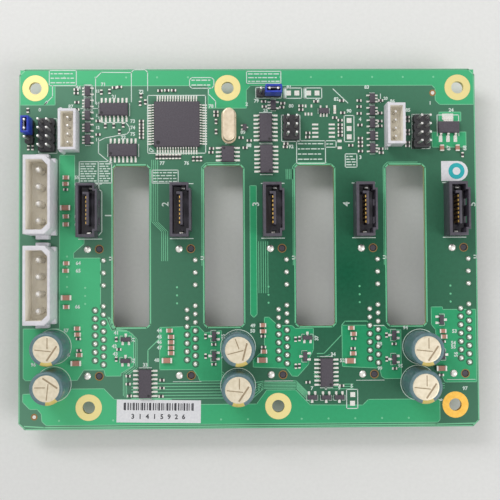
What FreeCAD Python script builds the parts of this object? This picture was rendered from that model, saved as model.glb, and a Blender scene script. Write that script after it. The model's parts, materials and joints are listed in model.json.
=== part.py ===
# Drive backplane board for five hot-swap bays, lying with its cable side up.
# The five drive sockets are underneath and the board rests on them. The cable
# headers, chips and capacitors stand on the upper face.
# X runs along the row of bays, Y across it and Z up. The origin is at the
# centre of the board's outline, on the plane of the sockets' mating faces.
import FreeCAD
import Part
import Sketcher

import math
import os

doc = FreeCAD.newDocument("drive_backplane_board")
sheet = doc.addObject("Spreadsheet::Sheet", "Sizes")

# Driving dimensions, all in millimetres
SIZES = (
    # Board outline, air slots and holes
    ("board_thickness", 1.6),
    ("bay_pitch", 28.0),
    ("left_margin", 24.5),
    ("right_margin", 4.1),
    ("upper_depth", 29.95),
    ("slot_length", 49.3),
    ("lower_depth", 31.05),
    ("corner_chamfer", 1.9),
    ("slot_offset", 4.25),
    ("slot_width", 11.8),
    ("first_slot_width", 11.0),
    ("slot_corner_radius", 1.0),
    ("mounting_hole_diameter", 3.9),
    ("upper_hole_margin", 5.85),
    ("lower_hole_margin", 6.65),
    # Drive socket under each bay
    ("socket_height", 8.4),
    ("socket_base_height", 2.9),
    ("socket_left", 4.9),
    ("socket_right", 2.7),
    ("socket_centre_rise", 4.45),
    ("nose_width", 4.9),
    ("nose_end_wall", 1.4),
    ("drive_slot_end_room", 0.9),
    ("drive_slot_width", 2.9),
    ("drive_slot_depth", 5.2),
    ("guide_gap", 1.4),
    ("guide_thickness", 1.9),
    ("guide_width", 5.6),
    ("contact_pitch", 2.54),
    ("ground_pitch", 3.81),
    ("ground_gap", 6.35),
    ("contact_offset", 1.2),
    ("contact_width", 0.9),
    ("contact_thickness", 0.5),
    ("contact_recess", 1.2),
    ("peg_inset", 2.1),
    ("peg_diameter", 2.0),
    ("peg_clearance", 0.1),
    ("peg_recess", 0.25),
    # Cable headers with the keyed tongue
    ("cable_header_rise", 13.95),
    ("cable_header_offset", 2.5),
    ("cable_header_height", 7.6),
    ("cable_header_floor", 1.4),
    ("cable_header_length", 16.3),
    ("cable_header_wide_length", 12.6),
    ("cable_header_left", 3.5),
    ("cable_header_narrow_right", 2.1),
    ("cable_header_wide_right", 2.9),
    ("cable_header_wall", 0.85),
    ("cable_header_thin_wall", 0.62),
    ("tongue_thickness", 0.76),
    ("tongue_length", 10.0),
    ("tongue_shift", 0.4),
    ("tongue_key", 1.85),
    ("tongue_drop", 0.6),
    ("window_width", 2.1),
    ("window_spacing", 5.4),
    ("window_shift", 0.5),
    ("window_bottom", 1.6),
    ("window_height", 3.4),
    ("signal_pitch", 1.27),
    ("signal_width", 0.7),
    ("signal_thickness", 0.3),
    ("signal_drop", 0.7),
    ("hold_down_width", 1.1),
    ("hold_down_thickness", 0.5),
    ("hold_down_height", 2.6),
    ("hold_down_spacing", 12.8),
    # Power headers
    ("power_inset", 7.8),
    ("power_gap", 1.0),
    ("power_height", 11.7),
    ("power_base_height", 3.0),
    ("power_floor", 2.6),
    ("power_length", 23.4),
    ("power_width", 8.05),
    ("power_wall", 0.85),
    ("power_end_wall", 1.35),
    ("power_chamfer", 1.7),
    ("power_lug_width", 3.9),
    ("power_lug_reach", 1.2),
    ("power_lug_height", 3.7),
    ("power_pin_pitch", 5.08),
    ("power_pin_radius", 1.05),
    ("power_pin_top", 9.5),
    ("power_pin_point", 0.55),
    ("power_tail_side", 1.3),
    # Four-way white headers
    ("bus_length", 12.4),
    ("bus_width", 5.4),
    ("bus_height", 7.0),
    ("bus_wall", 0.8),
    ("bus_floor", 1.6),
    ("bus_pitch", 2.5),
    ("bus_pin_top", 5.6),
    # Square-pin headers and their jumper caps
    ("pin_pitch", 2.54),
    ("pin_side", 0.64),
    ("pin_top", 9.0),
    ("sideband_rise", 9.35),
    ("insulator_height", 2.54),
    ("insulator_notch", 0.45),
    ("jumper_length", 5.06),
    ("jumper_width", 2.5),
    ("jumper_height", 5.9),
    ("jumper_gap", 0.2),
    ("jumper_cavity_width", 1.3),
    ("jumper_end_wall", 0.55),
    ("clip_thickness", 0.25),
    ("clip_height", 4.6),
    # Chips
    ("controller_side", 14.0),
    ("controller_height", 1.5),
    ("controller_span", 17.2),
    ("controller_pitch", 0.8),
    ("controller_lead_width", 0.35),
    ("logic_length", 8.65),
    ("logic_width", 3.9),
    ("logic_height", 1.6),
    ("logic_span", 6.0),
    ("logic_pitch", 1.27),
    ("logic_lead_width", 0.42),
    ("memory_length", 4.9),
    ("lead_thickness", 0.2),
    ("lead_foot", 0.7),
    ("chip_standoff", 0.1),
    ("chip_bevel", 0.25),
    ("regulator_length", 6.5),
    ("regulator_width", 3.5),
    ("regulator_height", 1.7),
    ("regulator_span", 7.0),
    ("regulator_pitch", 2.3),
    ("regulator_lead_width", 0.7),
    ("regulator_tab_width", 3.0),
    ("gate_length", 2.9),
    ("gate_width", 1.6),
    ("gate_height", 1.15),
    ("transistor_width", 1.3),
    ("transistor_height", 1.0),
    # Crystal, capacitors and small parts
    ("crystal_flange_length", 11.1),
    ("crystal_flange_width", 4.6),
    ("crystal_flange_height", 0.45),
    ("crystal_can_length", 10.2),
    ("crystal_can_width", 3.7),
    ("crystal_height", 3.6),
    ("capacitor_diameter", 10.0),
    ("capacitor_height", 11.5),
    ("capacitor_bevel", 0.7),
    ("capacitor_gap", 0.8),
    ("small_chip_length", 2.0),
    ("small_chip_width", 1.25),
    ("small_chip_height", 0.9),
    ("large_chip_length", 3.2),
    ("large_chip_width", 1.6),
    ("large_chip_height", 1.2),
    ("indicator_length", 1.6),
    ("indicator_width", 0.8),
    ("indicator_height", 0.6),
    # Labels
    ("label_length", 25.6),
    ("label_width", 6.9),
    ("label_thickness", 0.1),
    ("sticker_length", 8.3),
    ("sticker_width", 6.2),
)
for row, (name, number) in enumerate(SIZES, start=1):
    sheet.set(f"A{row}", name.replace("_", " "))
    sheet.set(f"B{row}", str(number))
    sheet.setAlias(f"B{row}", name)
doc.recompute()


def size(name):
    """A driving dimension as a number of millimetres."""
    return float(sheet.get(name))


# Places that the whole board shares, as expressions on the sheet
BOARD_TOP = "(Sizes.socket_height + Sizes.board_thickness)"
BOARD_WIDTH = "(Sizes.left_margin + 4 * Sizes.bay_pitch + Sizes.right_margin)"
BOARD_DEPTH = "(Sizes.upper_depth + Sizes.slot_length + Sizes.lower_depth)"
SLOT_TOP = f"({BOARD_DEPTH} / 2 - Sizes.upper_depth)"
SLOT_BOTTOM = f"(Sizes.lower_depth - {BOARD_DEPTH} / 2)"
SOCKET_Y = f"({SLOT_BOTTOM} + Sizes.socket_centre_rise)"
HALF_CONTACTS = "((7 * Sizes.contact_pitch + Sizes.ground_gap) / 2 + Sizes.ground_pitch)"
HALF_DRIVE_SLOT = f"({HALF_CONTACTS} + Sizes.drive_slot_end_room)"
HALF_NOSE = f"({HALF_DRIVE_SLOT} + Sizes.nose_end_wall)"
HALF_SOCKET = f"({HALF_NOSE} + Sizes.guide_gap + Sizes.guide_thickness)"
HALF_PEGS = f"({HALF_SOCKET} - Sizes.peg_inset)"


def bay(number):
    """The X of a drive socket's axis, for bays 0 to 4 from the left."""
    return f"(Sizes.left_margin - {BOARD_WIDTH} / 2 + {number} * Sizes.bay_pitch)"


def worked_out(expression):
    """The value of an expression on the sheet."""
    return float(sheet.evalExpression(expression))


board_top = worked_out(BOARD_TOP)
left_edge = -worked_out(BOARD_WIDTH) / 2
slot_top = worked_out(SLOT_TOP)
slot_bottom = worked_out(SLOT_BOTTOM)
bay_x = [worked_out(bay(number)) for number in range(5)]


# Feature building
def new_body(label, x, y, z):
    """A body of its own whose place is given by three expressions."""
    body = doc.addObject("PartDesign::Body", label)
    body.Label = label
    for axis, place in zip("xyz", (x, y, z)):
        body.setExpression(f".Placement.Base.{axis}", place)
    return body


def new_sketch(body, name, height="0", role="XY_Plane"):
    """A sketch on one of the body's own planes, at a height above it."""
    sketch = body.newObject("Sketcher::SketchObject", f"{body.Name}_{name}")
    planes = [part for part in body.Origin.OriginFeatures if part.Role == role]
    sketch.AttachmentSupport = [(planes[0], "")]
    sketch.MapMode = "FlatFace"
    sketch.setExpression(".AttachmentOffset.Base.z", height)
    return sketch


def bind_point(sketch, geometry, vertex, x, y):
    """Hold a sketch vertex at a place given by two expressions."""
    for direction, place in (("DistanceX", x), ("DistanceY", y)):
        now = worked_out(place)
        rule = Sketcher.Constraint(direction, -1, 1, geometry, vertex, now)
        index = sketch.addConstraint(rule)
        sketch.setExpression(f"Constraints[{index}]", place)


def draw_polygon(sketch, corners):
    """A closed outline through corners given as pairs of expressions."""
    first = sketch.GeometryCount
    points = [FreeCAD.Vector(worked_out(x), worked_out(y), 0) for x, y in corners]
    for number, point in enumerate(points):
        following = points[(number + 1) % len(points)]
        sketch.addGeometry(Part.LineSegment(point, following), False)
    for number, (x, y) in enumerate(corners):
        following = first + (number + 1) % len(corners)
        sketch.addConstraint(Sketcher.Constraint("Coincident", first + number, 2, following, 1))
        bind_point(sketch, first + number, 1, x, y)


def draw_rectangle(sketch, left, bottom, right, top):
    """A rectangle between four expressions."""
    draw_polygon(sketch, ((left, bottom), (right, bottom), (right, top), (left, top)))


def draw_regular(sketch, x, y, radius, sides):
    """A regular polygon about a centre, for small pegs and their holes."""
    turns = [360 * step / sides for step in range(sides)]
    draw_polygon(sketch, [(f"{x} + {radius} * cos({turn})", f"{y} + {radius} * sin({turn})")
                          for turn in turns])


def draw_circle(sketch, x, y, diameter):
    """A circle whose centre and diameter are expressions."""
    centre = FreeCAD.Vector(worked_out(x), worked_out(y), 0)
    radius = worked_out(diameter) / 2
    circle = sketch.addGeometry(Part.Circle(centre, FreeCAD.Vector(0, 0, 1), radius), False)
    bind_point(sketch, circle, 3, x, y)
    index = sketch.addConstraint(Sketcher.Constraint("Diameter", circle, 2 * radius))
    sketch.setExpression(f"Constraints[{index}]", diameter)


def add_feature(kind, body, sketch, name, length, upward):
    """A pad or pocket of a sketch, checked to have changed the volume."""
    before = body.Shape.Volume if body.Tip and body.Tip.isDerivedFrom("PartDesign::Feature") else 0
    feature = body.newObject(f"PartDesign::{kind}", f"{body.Name}_{name}")
    feature.Profile = sketch
    feature.setExpression("Length", length)
    feature.Reversed = upward if kind == "Pocket" else not upward
    doc.recompute()
    change = body.Shape.Volume - before
    if (change >= 0) == (kind == "Pocket"):
        raise RuntimeError(f"{feature.Name} changed the volume by {change:.3f}")
    return feature


def pad(body, sketch, name, length, upward=True):
    """Material added from a sketch."""
    return add_feature("Pad", body, sketch, name, length, upward)


def pocket(body, sketch, name, depth, upward=False):
    """Material cut away from a sketch."""
    return add_feature("Pocket", body, sketch, name, depth, upward)


def upright_edges(shape, centres, reach):
    """Names of the Z-parallel edges within reach of any of some X, Y places."""
    names = []
    for number, edge in enumerate(shape.Edges, start=1):
        start, end = edge.Vertexes[0].Point, edge.Vertexes[-1].Point
        upright = math.hypot(start.x - end.x, start.y - end.y) < 1e-6
        if upright and any(math.hypot(start.x - x, start.y - y) < reach for x, y in centres):
            names.append(f"Edge{number}")
    return names


# Solids for pieces that repeat many times
def block(x, y, bottom, length_x, length_y, height):
    """A block centred on X and Y, standing on its bottom."""
    corner = FreeCAD.Vector(x - length_x / 2, y - length_y / 2, bottom)
    return Part.makeBox(length_x, length_y, height, corner)


def prism(outline, bottom, height):
    """An upright prism on an outline of X, Y points."""
    points = [FreeCAD.Vector(x, y, bottom) for x, y in outline]
    face = Part.Face(Part.makePolygon(points + points[:1]))
    return face.extrude(FreeCAD.Vector(0, 0, height))


def regular(radius, sides):
    """The corners of a regular polygon about the origin."""
    angles = [2 * math.pi * (step + 0.5) / sides for step in range(sides)]
    return [(radius * math.cos(angle), radius * math.sin(angle)) for angle in angles]


def edges_at(solid, height):
    """The edges of a solid that lie at one height."""
    return [edge for edge in solid.Edges
            if all(abs(vertex.Point.z - height) < 1e-6 for vertex in edge.Vertexes)]


def turned(solid, x, y, angle):
    """A solid modelled at the origin, turned about Z and moved to X, Y."""
    copy = solid.copy()
    copy.rotate(FreeCAD.Vector(0, 0, 0), FreeCAD.Vector(0, 0, 1), angle)
    copy.translate(FreeCAD.Vector(x, y, 0))
    return copy


def add_piece(label, solids, x=0, y=0, z=board_top, angle=0):
    """A named piece, or one group of like pieces, standing at a place."""
    piece = doc.addObject("Part::Feature", label)
    piece.Label = label
    piece.Shape = solids[0] if len(solids) == 1 else Part.Compound(solids)
    about_z = FreeCAD.Rotation(FreeCAD.Vector(0, 0, 1), angle)
    piece.Placement = FreeCAD.Placement(FreeCAD.Vector(x, y, z), about_z)


# Circuit board: one sheet of glass laminate, routed to its outline, with an
# air slot beside each of the first four sockets
board = new_body("circuit_board", "0", "0", "Sizes.socket_height")
outline = new_sketch(board, "outline")
half_width = f"{BOARD_WIDTH} / 2"
half_depth = f"{BOARD_DEPTH} / 2"
cut_width = f"({half_width} - Sizes.corner_chamfer)"
cut_depth = f"({half_depth} - Sizes.corner_chamfer)"
draw_polygon(outline, (
    (f"-{cut_width}", f"-({half_depth})"),
    (cut_width, f"-({half_depth})"),
    (half_width, f"-{cut_depth}"),
    (half_width, cut_depth),
    (cut_width, half_depth),
    (f"-{cut_width}", half_depth),
    (f"-({half_width})", cut_depth),
    (f"-({half_width})", f"-{cut_depth}"),
))
pad(board, outline, "sheet", "Sizes.board_thickness")

air_slots = new_sketch(board, "air_slots", "Sizes.board_thickness")
slot_corners = []
for number in range(4):
    slot_left = f"{bay(number)} + Sizes.slot_offset"
    slot_width = "Sizes.slot_width" if number else "Sizes.first_slot_width"
    draw_rectangle(air_slots, slot_left, SLOT_BOTTOM, f"{slot_left} + {slot_width}", SLOT_TOP)
    for edge_x in (worked_out(slot_left), worked_out(f"{slot_left} + {slot_width}")):
        slot_corners += [(edge_x, slot_top), (edge_x, slot_bottom)]
pocket(board, air_slots, "air_slot_cut", "Sizes.board_thickness")

upper_hole_y = f"{half_depth} - Sizes.upper_hole_margin"
lower_hole_y = f"Sizes.lower_hole_margin - {half_depth}"
MOUNTING_HOLES = (
    (f"{bay(0)} - 19.55", upper_hole_y),
    (f"{bay(1)} + 11.5", upper_hole_y),
    (f"{bay(4)} - 1.25", upper_hole_y),
    (f"{bay(0)} - 3.2", lower_hole_y),
    (f"{bay(2)} - 1.5", lower_hole_y),
    (f"{bay(4)} - 3.2", lower_hole_y),
)
holes = new_sketch(board, "holes", "Sizes.board_thickness")
for hole_x, hole_y in MOUNTING_HOLES:
    draw_circle(holes, hole_x, hole_y, "Sizes.mounting_hole_diameter")
for number in range(5):
    for side in ("+", "-"):
        draw_regular(holes, bay(number), f"{SOCKET_Y} {side} {HALF_PEGS}",
                     "(Sizes.peg_diameter / 2 + Sizes.peg_clearance)", 10)
pocket(board, holes, "hole_cut", "Sizes.board_thickness")

drilled_sheet = board.Tip
slot_rounds = board.newObject("PartDesign::Fillet", "circuit_board_slot_rounds")
slot_rounds.Base = (drilled_sheet, upright_edges(drilled_sheet.Shape, slot_corners, 0.01))
slot_rounds.setExpression("Radius", "Sizes.slot_corner_radius")
doc.recompute()


# Drive sockets: a base on the board, a nose with the long slot that takes the
# drive's tongue, and a guide post at each end. Two pegs locate it in the board
def drive_socket(label, number):
    """The moulding of one socket, its mating face down."""
    body = new_body(label, bay(number), SOCKET_Y, "0")
    base_bottom = "Sizes.socket_height - Sizes.socket_base_height"

    base = new_sketch(body, "base", base_bottom)
    draw_rectangle(base, "-Sizes.socket_left", f"-{HALF_SOCKET}", "Sizes.socket_right", HALF_SOCKET)
    pad(body, base, "base_pad", "Sizes.socket_base_height")

    nose = new_sketch(body, "nose")
    draw_rectangle(nose, "-Sizes.nose_width / 2", f"-{HALF_NOSE}", "Sizes.nose_width / 2", HALF_NOSE)
    guide_inside = f"({HALF_SOCKET} - Sizes.guide_thickness)"
    for low, high in ((f"-{HALF_SOCKET}", f"-{guide_inside}"), (guide_inside, HALF_SOCKET)):
        draw_rectangle(nose, "-Sizes.guide_width / 2", low, "Sizes.guide_width / 2", high)
    pad(body, nose, "nose_pad", base_bottom)

    slot = new_sketch(body, "slot")
    draw_rectangle(slot, "-Sizes.drive_slot_width / 2", f"-{HALF_DRIVE_SLOT}",
                   "Sizes.drive_slot_width / 2", HALF_DRIVE_SLOT)
    pocket(body, slot, "slot_cut", "Sizes.drive_slot_depth", upward=True)

    channels = new_sketch(body, "channels")
    near = "(Sizes.contact_offset - Sizes.contact_thickness / 2)"
    far = "(Sizes.contact_offset + Sizes.contact_thickness / 2)"
    reach = f"({HALF_CONTACTS} + Sizes.contact_width / 2)"
    signal_top = f"({reach} - Sizes.ground_gap - 2 * Sizes.ground_pitch)"
    draw_rectangle(channels, near, f"-{reach}", far, reach)
    draw_rectangle(channels, f"-{far}", f"-{reach}", f"-{near}", signal_top)
    pocket(body, channels, "channel_cut", "Sizes.socket_height", upward=True)

    pegs = new_sketch(body, "pegs", "Sizes.socket_height")
    for side in ("", "-"):
        draw_regular(pegs, "0", f"{side}{HALF_PEGS}", "Sizes.peg_diameter / 2", 6)
    pad(body, pegs, "peg_pad", "Sizes.board_thickness - Sizes.peg_recess")


def drive_contacts():
    """The contacts of one socket: flat blades, standing in two channels."""
    reach = worked_out(HALF_CONTACTS)
    right_y = [reach - step * size("ground_pitch") for step in range(3)]
    right_y += [step * size("contact_pitch") - reach for step in range(8)]
    left_y = [(step + 0.5) * size("contact_pitch") - reach for step in range(7)]
    height = size("socket_height") - size("contact_recess")
    blades = []
    for side, places in ((1, right_y), (-1, left_y)):
        for place in places:
            blades.append(block(side * size("contact_offset"), place, size("contact_recess"),
                                size("contact_thickness"), size("contact_width"), height))
    return blades


for number in range(5):
    drive_socket(f"drive_socket_{number + 1}", number)
    add_piece(f"drive_contacts_{number + 1}", drive_contacts(), bay_x[number],
              worked_out(SOCKET_Y), 0)


# Cable headers: a box open at the top, stepped at both ends, around a keyed
# tongue that carries seven contacts. Two windows show the solder side
CABLE_X = "Sizes.cable_header_offset"
CABLE_Y = f"({SLOT_TOP} - Sizes.cable_header_rise)"


def stepped_outline(left, narrow, wide, half_length, half_wide):
    """The header's outline: wide in the middle of its right side."""
    return (
        (f"-({left})", f"-({half_length})"),
        (narrow, f"-({half_length})"),
        (narrow, f"-({half_wide})"),
        (wide, f"-({half_wide})"),
        (wide, half_wide),
        (narrow, half_wide),
        (narrow, half_length),
        (f"-({left})", half_length),
    )


def cable_header(label, number):
    """The moulding of one cable header."""
    body = new_body(label, f"{bay(number)} - {CABLE_X}", CABLE_Y, BOARD_TOP)
    half_length = "Sizes.cable_header_length / 2"
    half_wide = "Sizes.cable_header_wide_length / 2"

    outside = new_sketch(body, "outside")
    draw_polygon(outside, stepped_outline(
        "Sizes.cable_header_left", "Sizes.cable_header_narrow_right",
        "Sizes.cable_header_wide_right", half_length, half_wide))
    pad(body, outside, "block", "Sizes.cable_header_height")

    cavity = new_sketch(body, "cavity", "Sizes.cable_header_height")
    draw_polygon(cavity, stepped_outline(
        "Sizes.cable_header_left - Sizes.cable_header_wall",
        "Sizes.cable_header_narrow_right - Sizes.cable_header_thin_wall",
        "Sizes.cable_header_wide_right - Sizes.cable_header_thin_wall",
        f"{half_length} - Sizes.cable_header_wall",
        f"{half_wide} - Sizes.cable_header_thin_wall"))
    pocket(body, cavity, "cavity_cut", "Sizes.cable_header_height - Sizes.cable_header_floor")

    tongue = new_sketch(body, "tongue", "Sizes.cable_header_floor")
    near_end = "(Sizes.tongue_shift - Sizes.tongue_length / 2)"
    far_end = "(Sizes.tongue_shift + Sizes.tongue_length / 2)"
    half_thick = "Sizes.tongue_thickness / 2"
    draw_polygon(tongue, (
        (f"-{half_thick}", near_end),
        (half_thick, near_end),
        (half_thick, far_end),
        (f"{half_thick} - Sizes.tongue_key", far_end),
        (f"{half_thick} - Sizes.tongue_key", f"{far_end} - Sizes.tongue_thickness"),
        (f"-{half_thick}", f"{far_end} - Sizes.tongue_thickness"),
    ))
    pad(body, tongue, "tongue_pad",
        "Sizes.cable_header_height - Sizes.tongue_drop - Sizes.cable_header_floor")

    channel = new_sketch(body, "channel", "Sizes.cable_header_floor")
    reach = "(3 * Sizes.signal_pitch + Sizes.signal_width / 2)"
    outer = "(Sizes.tongue_thickness / 2 + Sizes.signal_thickness)"
    draw_rectangle(channel, f"-{outer}", f"-{reach}", f"-{half_thick}", reach)
    half_spacing = "Sizes.hold_down_spacing / 2"
    half_blade = "Sizes.hold_down_width / 2"
    half_sheet = "Sizes.hold_down_thickness / 2"
    for side in ("", "-"):
        draw_rectangle(channel, f"-{half_blade}", f"{side}{half_spacing} - {half_sheet}",
                       half_blade, f"{side}{half_spacing} + {half_sheet}")
    pocket(body, channel, "channel_cut", "Sizes.cable_header_floor")

    windows = new_sketch(body, "windows", "Sizes.cable_header_wide_right", "YZ_Plane")
    for side in ("", "-"):
        centre = f"{side}Sizes.window_spacing / 2 - Sizes.window_shift"
        draw_rectangle(windows, f"{centre} - Sizes.window_width / 2", "Sizes.window_bottom",
                       f"{centre} + Sizes.window_width / 2",
                       "Sizes.window_bottom + Sizes.window_height")
    pocket(body, windows, "window_cut", "Sizes.cable_header_thin_wall")


def signal_contacts():
    """Seven flat contacts on the left face of a header's tongue."""
    x = -(size("tongue_thickness") + size("signal_thickness")) / 2
    height = size("cable_header_height") - size("tongue_drop") - size("signal_drop")
    return [block(x, step * size("signal_pitch"), 0, size("signal_thickness"),
                  size("signal_width"), height) for step in range(-3, 4)]


hold_downs = []
for number in range(5):
    header_x = bay_x[number] - size("cable_header_offset")
    header_y = worked_out(CABLE_Y)
    cable_header(f"cable_header_{number + 1}", number)
    add_piece(f"cable_contacts_{number + 1}", signal_contacts(), header_x, header_y)
    for side in (-1, 1):
        hold_downs.append(block(header_x, header_y + side * size("hold_down_spacing") / 2, 0,
                                size("hold_down_width"), size("hold_down_thickness"),
                                size("hold_down_height")))
add_piece("cable_header_hold_downs", hold_downs)


# Power headers: a rectangular base, a shell with two chamfered corners, a low
# lug at each end and four round pins
POWER_X = f"(Sizes.power_inset - {BOARD_WIDTH} / 2)"
POWER_REACH = "(Sizes.power_length + 2 * Sizes.power_lug_reach)"
POWER_END = f"({SLOT_TOP} + Sizes.sideband_rise - 2 * Sizes.pin_pitch - Sizes.power_gap)"
POWER_Y = {
    "upper": f"({POWER_END} - {POWER_REACH} / 2)",
    "lower": f"({POWER_END} - 1.5 * {POWER_REACH} - Sizes.power_gap)",
}


def chamfered_outline(half_width, half_length):
    """The shell's outline: both right-hand corners cut at 45 degrees."""
    return (
        (f"-({half_width})", f"-({half_length})"),
        (f"{half_width} - Sizes.power_chamfer", f"-({half_length})"),
        (half_width, f"Sizes.power_chamfer - ({half_length})"),
        (half_width, f"{half_length} - Sizes.power_chamfer"),
        (f"{half_width} - Sizes.power_chamfer", half_length),
        (f"-({half_width})", half_length),
    )


def power_header(label, place):
    """The moulding of one power header."""
    body = new_body(label, POWER_X, POWER_Y[place], BOARD_TOP)
    half_length = "Sizes.power_length / 2"
    half_width = "Sizes.power_width / 2"

    shell = new_sketch(body, "shell")
    draw_polygon(shell, chamfered_outline(half_width, half_length))
    pad(body, shell, "shell_pad", "Sizes.power_height")

    base = new_sketch(body, "base")
    draw_rectangle(base, f"-{half_width}", f"-{half_length}", half_width, half_length)
    pad(body, base, "base_pad", "Sizes.power_base_height")

    lugs = new_sketch(body, "lugs")
    lug_end = f"{half_length} + Sizes.power_lug_reach"
    draw_rectangle(lugs, "-Sizes.power_lug_width / 2", f"-({lug_end})",
                   "Sizes.power_lug_width / 2", lug_end)
    pad(body, lugs, "lug_pad", "Sizes.power_lug_height")

    cavity = new_sketch(body, "cavity", "Sizes.power_height")
    draw_polygon(cavity, chamfered_outline(f"{half_width} - Sizes.power_wall",
                                           f"{half_length} - Sizes.power_end_wall"))
    pocket(body, cavity, "cavity_cut", "Sizes.power_height - Sizes.power_floor")

    tails = new_sketch(body, "tails", "Sizes.power_floor")
    half_tail = "Sizes.power_tail_side / 2"
    for step in (-1.5, -0.5, 0.5, 1.5):
        centre = f"{step} * Sizes.power_pin_pitch"
        draw_rectangle(tails, f"-{half_tail}", f"{centre} - {half_tail}",
                       half_tail, f"{centre} + {half_tail}")
    pocket(body, tails, "tail_cut", "Sizes.power_floor")


def power_pins():
    """Four round pins with a chamfered tip, on square tails through the floor."""
    tail_side = size("power_tail_side")
    shoulder = size("power_floor")
    shank = prism(regular(size("power_pin_radius"), 8), shoulder,
                  size("power_pin_top") - shoulder)
    shank = shank.makeChamfer(size("power_pin_point"), edges_at(shank, size("power_pin_top")))
    pin = shank.fuse(block(0, 0, 0, tail_side, tail_side, shoulder))
    return [turned(pin, 0, step * size("power_pin_pitch"), 0) for step in (-1.5, -0.5, 0.5, 1.5)]


for place in ("upper", "lower"):
    power_header(f"power_header_{place}", place)
    add_piece(f"power_pins_{place}", power_pins(), worked_out(POWER_X),
              worked_out(POWER_Y[place]))


# White four-way headers: a thin-walled box, open at the top, around four pins
BUS_PLACES = {
    "left": (bay(0) + " - 8.7", f"{SLOT_TOP} + 10.4"),
    "right": (bay(3) + " + 6.5", f"{SLOT_TOP} + 11.9"),
}


def bus_header(label, place):
    """The moulding of one four-way header."""
    x, y = BUS_PLACES[place]
    body = new_body(label, x, y, BOARD_TOP)
    half_length = "Sizes.bus_length / 2"
    half_width = "Sizes.bus_width / 2"

    outside = new_sketch(body, "outside")
    draw_rectangle(outside, f"-{half_width}", f"-{half_length}", half_width, half_length)
    pad(body, outside, "block", "Sizes.bus_height")

    cavity = new_sketch(body, "cavity", "Sizes.bus_height")
    inner_width = f"({half_width} - Sizes.bus_wall)"
    inner_length = f"({half_length} - Sizes.bus_wall)"
    draw_rectangle(cavity, f"-{inner_width}", f"-{inner_length}", inner_width, inner_length)
    pocket(body, cavity, "cavity_cut", "Sizes.bus_height - Sizes.bus_floor")

    pin_holes = new_sketch(body, "pin_holes", "Sizes.bus_floor")
    half_pin = "Sizes.pin_side / 2"
    for step in (-1.5, -0.5, 0.5, 1.5):
        centre = f"{step} * Sizes.bus_pitch"
        draw_rectangle(pin_holes, f"-{half_pin}", f"{centre} - {half_pin}",
                       half_pin, f"{centre} + {half_pin}")
    pocket(body, pin_holes, "pin_hole_cut", "Sizes.bus_floor")


for place, (x, y) in BUS_PLACES.items():
    bus_header(f"bus_header_{place}", place)
    pins = [block(0, step * size("bus_pitch"), 0, size("pin_side"), size("pin_side"),
                  size("bus_pin_top")) for step in (-1.5, -0.5, 0.5, 1.5)]
    add_piece(f"bus_pins_{place}", pins, worked_out(x), worked_out(y))


# Square-pin headers: a black insulator, notched between positions, on pins
# that stand in rows
def pin_places(columns, rows):
    """The X, Y of every pin about the header's centre."""
    pitch = size("pin_pitch")
    return [((column - (columns - 1) / 2) * pitch, (row - (rows - 1) / 2) * pitch)
            for column in range(columns) for row in range(rows)]


def insulator(columns, rows):
    """A notched strip with a square hole for each pin."""
    pitch = size("pin_pitch")
    notch = size("insulator_notch")
    half_x = columns * pitch / 2
    half_y = rows * pitch / 2
    right_side = [(half_x - notch, -half_y)]
    for row in range(rows):
        low = row * pitch - half_y
        right_side += [(half_x, low + notch), (half_x, low + pitch - notch)]
        right_side.append((half_x - notch, low + pitch))
    corners = right_side + [(-x, -y) for x, y in right_side]
    strip = prism(corners, 0, size("insulator_height"))
    holes = [block(x, y, 0, size("pin_side"), size("pin_side"), size("insulator_height"))
             for x, y in pin_places(columns, rows)]
    return strip.cut(holes)


def square_pins(columns, rows):
    """The pins of one header."""
    return [block(x, y, 0, size("pin_side"), size("pin_side"), size("pin_top"))
            for x, y in pin_places(columns, rows)]


jumper_top_x, jumper_top_y = bay_x[1] + 24.12, slot_top + 22.2
jumper_side_x, jumper_side_y = left_edge + 3.5, slot_top + 10.44


def pin_header(header_name, pins_name, x, y, rows, columns=2, angle=0):
    """One header: its insulator and its pins, as two pieces."""
    add_piece(header_name, [insulator(columns, rows)], x, y, angle=angle)
    add_piece(pins_name, square_pins(columns, rows), x, y, angle=angle)


pin_header("sideband_header_left", "sideband_pins_left", left_edge + 8.8,
           slot_top + size("sideband_rise"), rows=4)
pin_header("sideband_header_right", "sideband_pins_right", bay_x[3] + 15.05, slot_top + 10.2, rows=4)
pin_header("status_header", "status_pins", bay_x[2] + 2.95, slot_top + 11.5, rows=3)
pin_header("jumper_header_top", "jumper_pins_top", jumper_top_x, jumper_top_y, rows=3, columns=1,
           angle=90)
pin_header("jumper_header_side", "jumper_pins_side", jumper_side_x, jumper_side_y, rows=3, columns=1)


# Jumper caps: a sleeve over two pins, with a spring clip between them
def jumper_cap():
    """The sleeve, open at both ends."""
    cavity_length = size("jumper_length") - 2 * size("jumper_end_wall")
    sleeve = block(0, 0, 0, size("jumper_length"), size("jumper_width"), size("jumper_height"))
    cavity = block(0, 0, 0, cavity_length, size("jumper_cavity_width"), size("jumper_height"))
    return sleeve.cut(cavity)


def jumper_clip():
    """A flat spring against one wall of the cavity, touching both pins."""
    cavity_length = size("jumper_length") - 2 * size("jumper_end_wall")
    side = (size("pin_side") + size("clip_thickness")) / 2
    return block(0, side, 0, cavity_length, size("clip_thickness"), size("clip_height"))


half_pitch = size("pin_pitch") / 2
jumper_bottom = board_top + size("insulator_height") + size("jumper_gap")
JUMPERS = (
    ("top", jumper_top_x + half_pitch, jumper_top_y, 0),
    ("side", jumper_side_x, jumper_side_y + half_pitch, 90),
)
for place, x, y, angle in JUMPERS:
    add_piece(f"jumper_cap_{place}", [jumper_cap()], x, y, jumper_bottom, angle)
    add_piece(f"jumper_clip_{place}", [jumper_clip()], x, y, jumper_bottom, angle)


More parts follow.
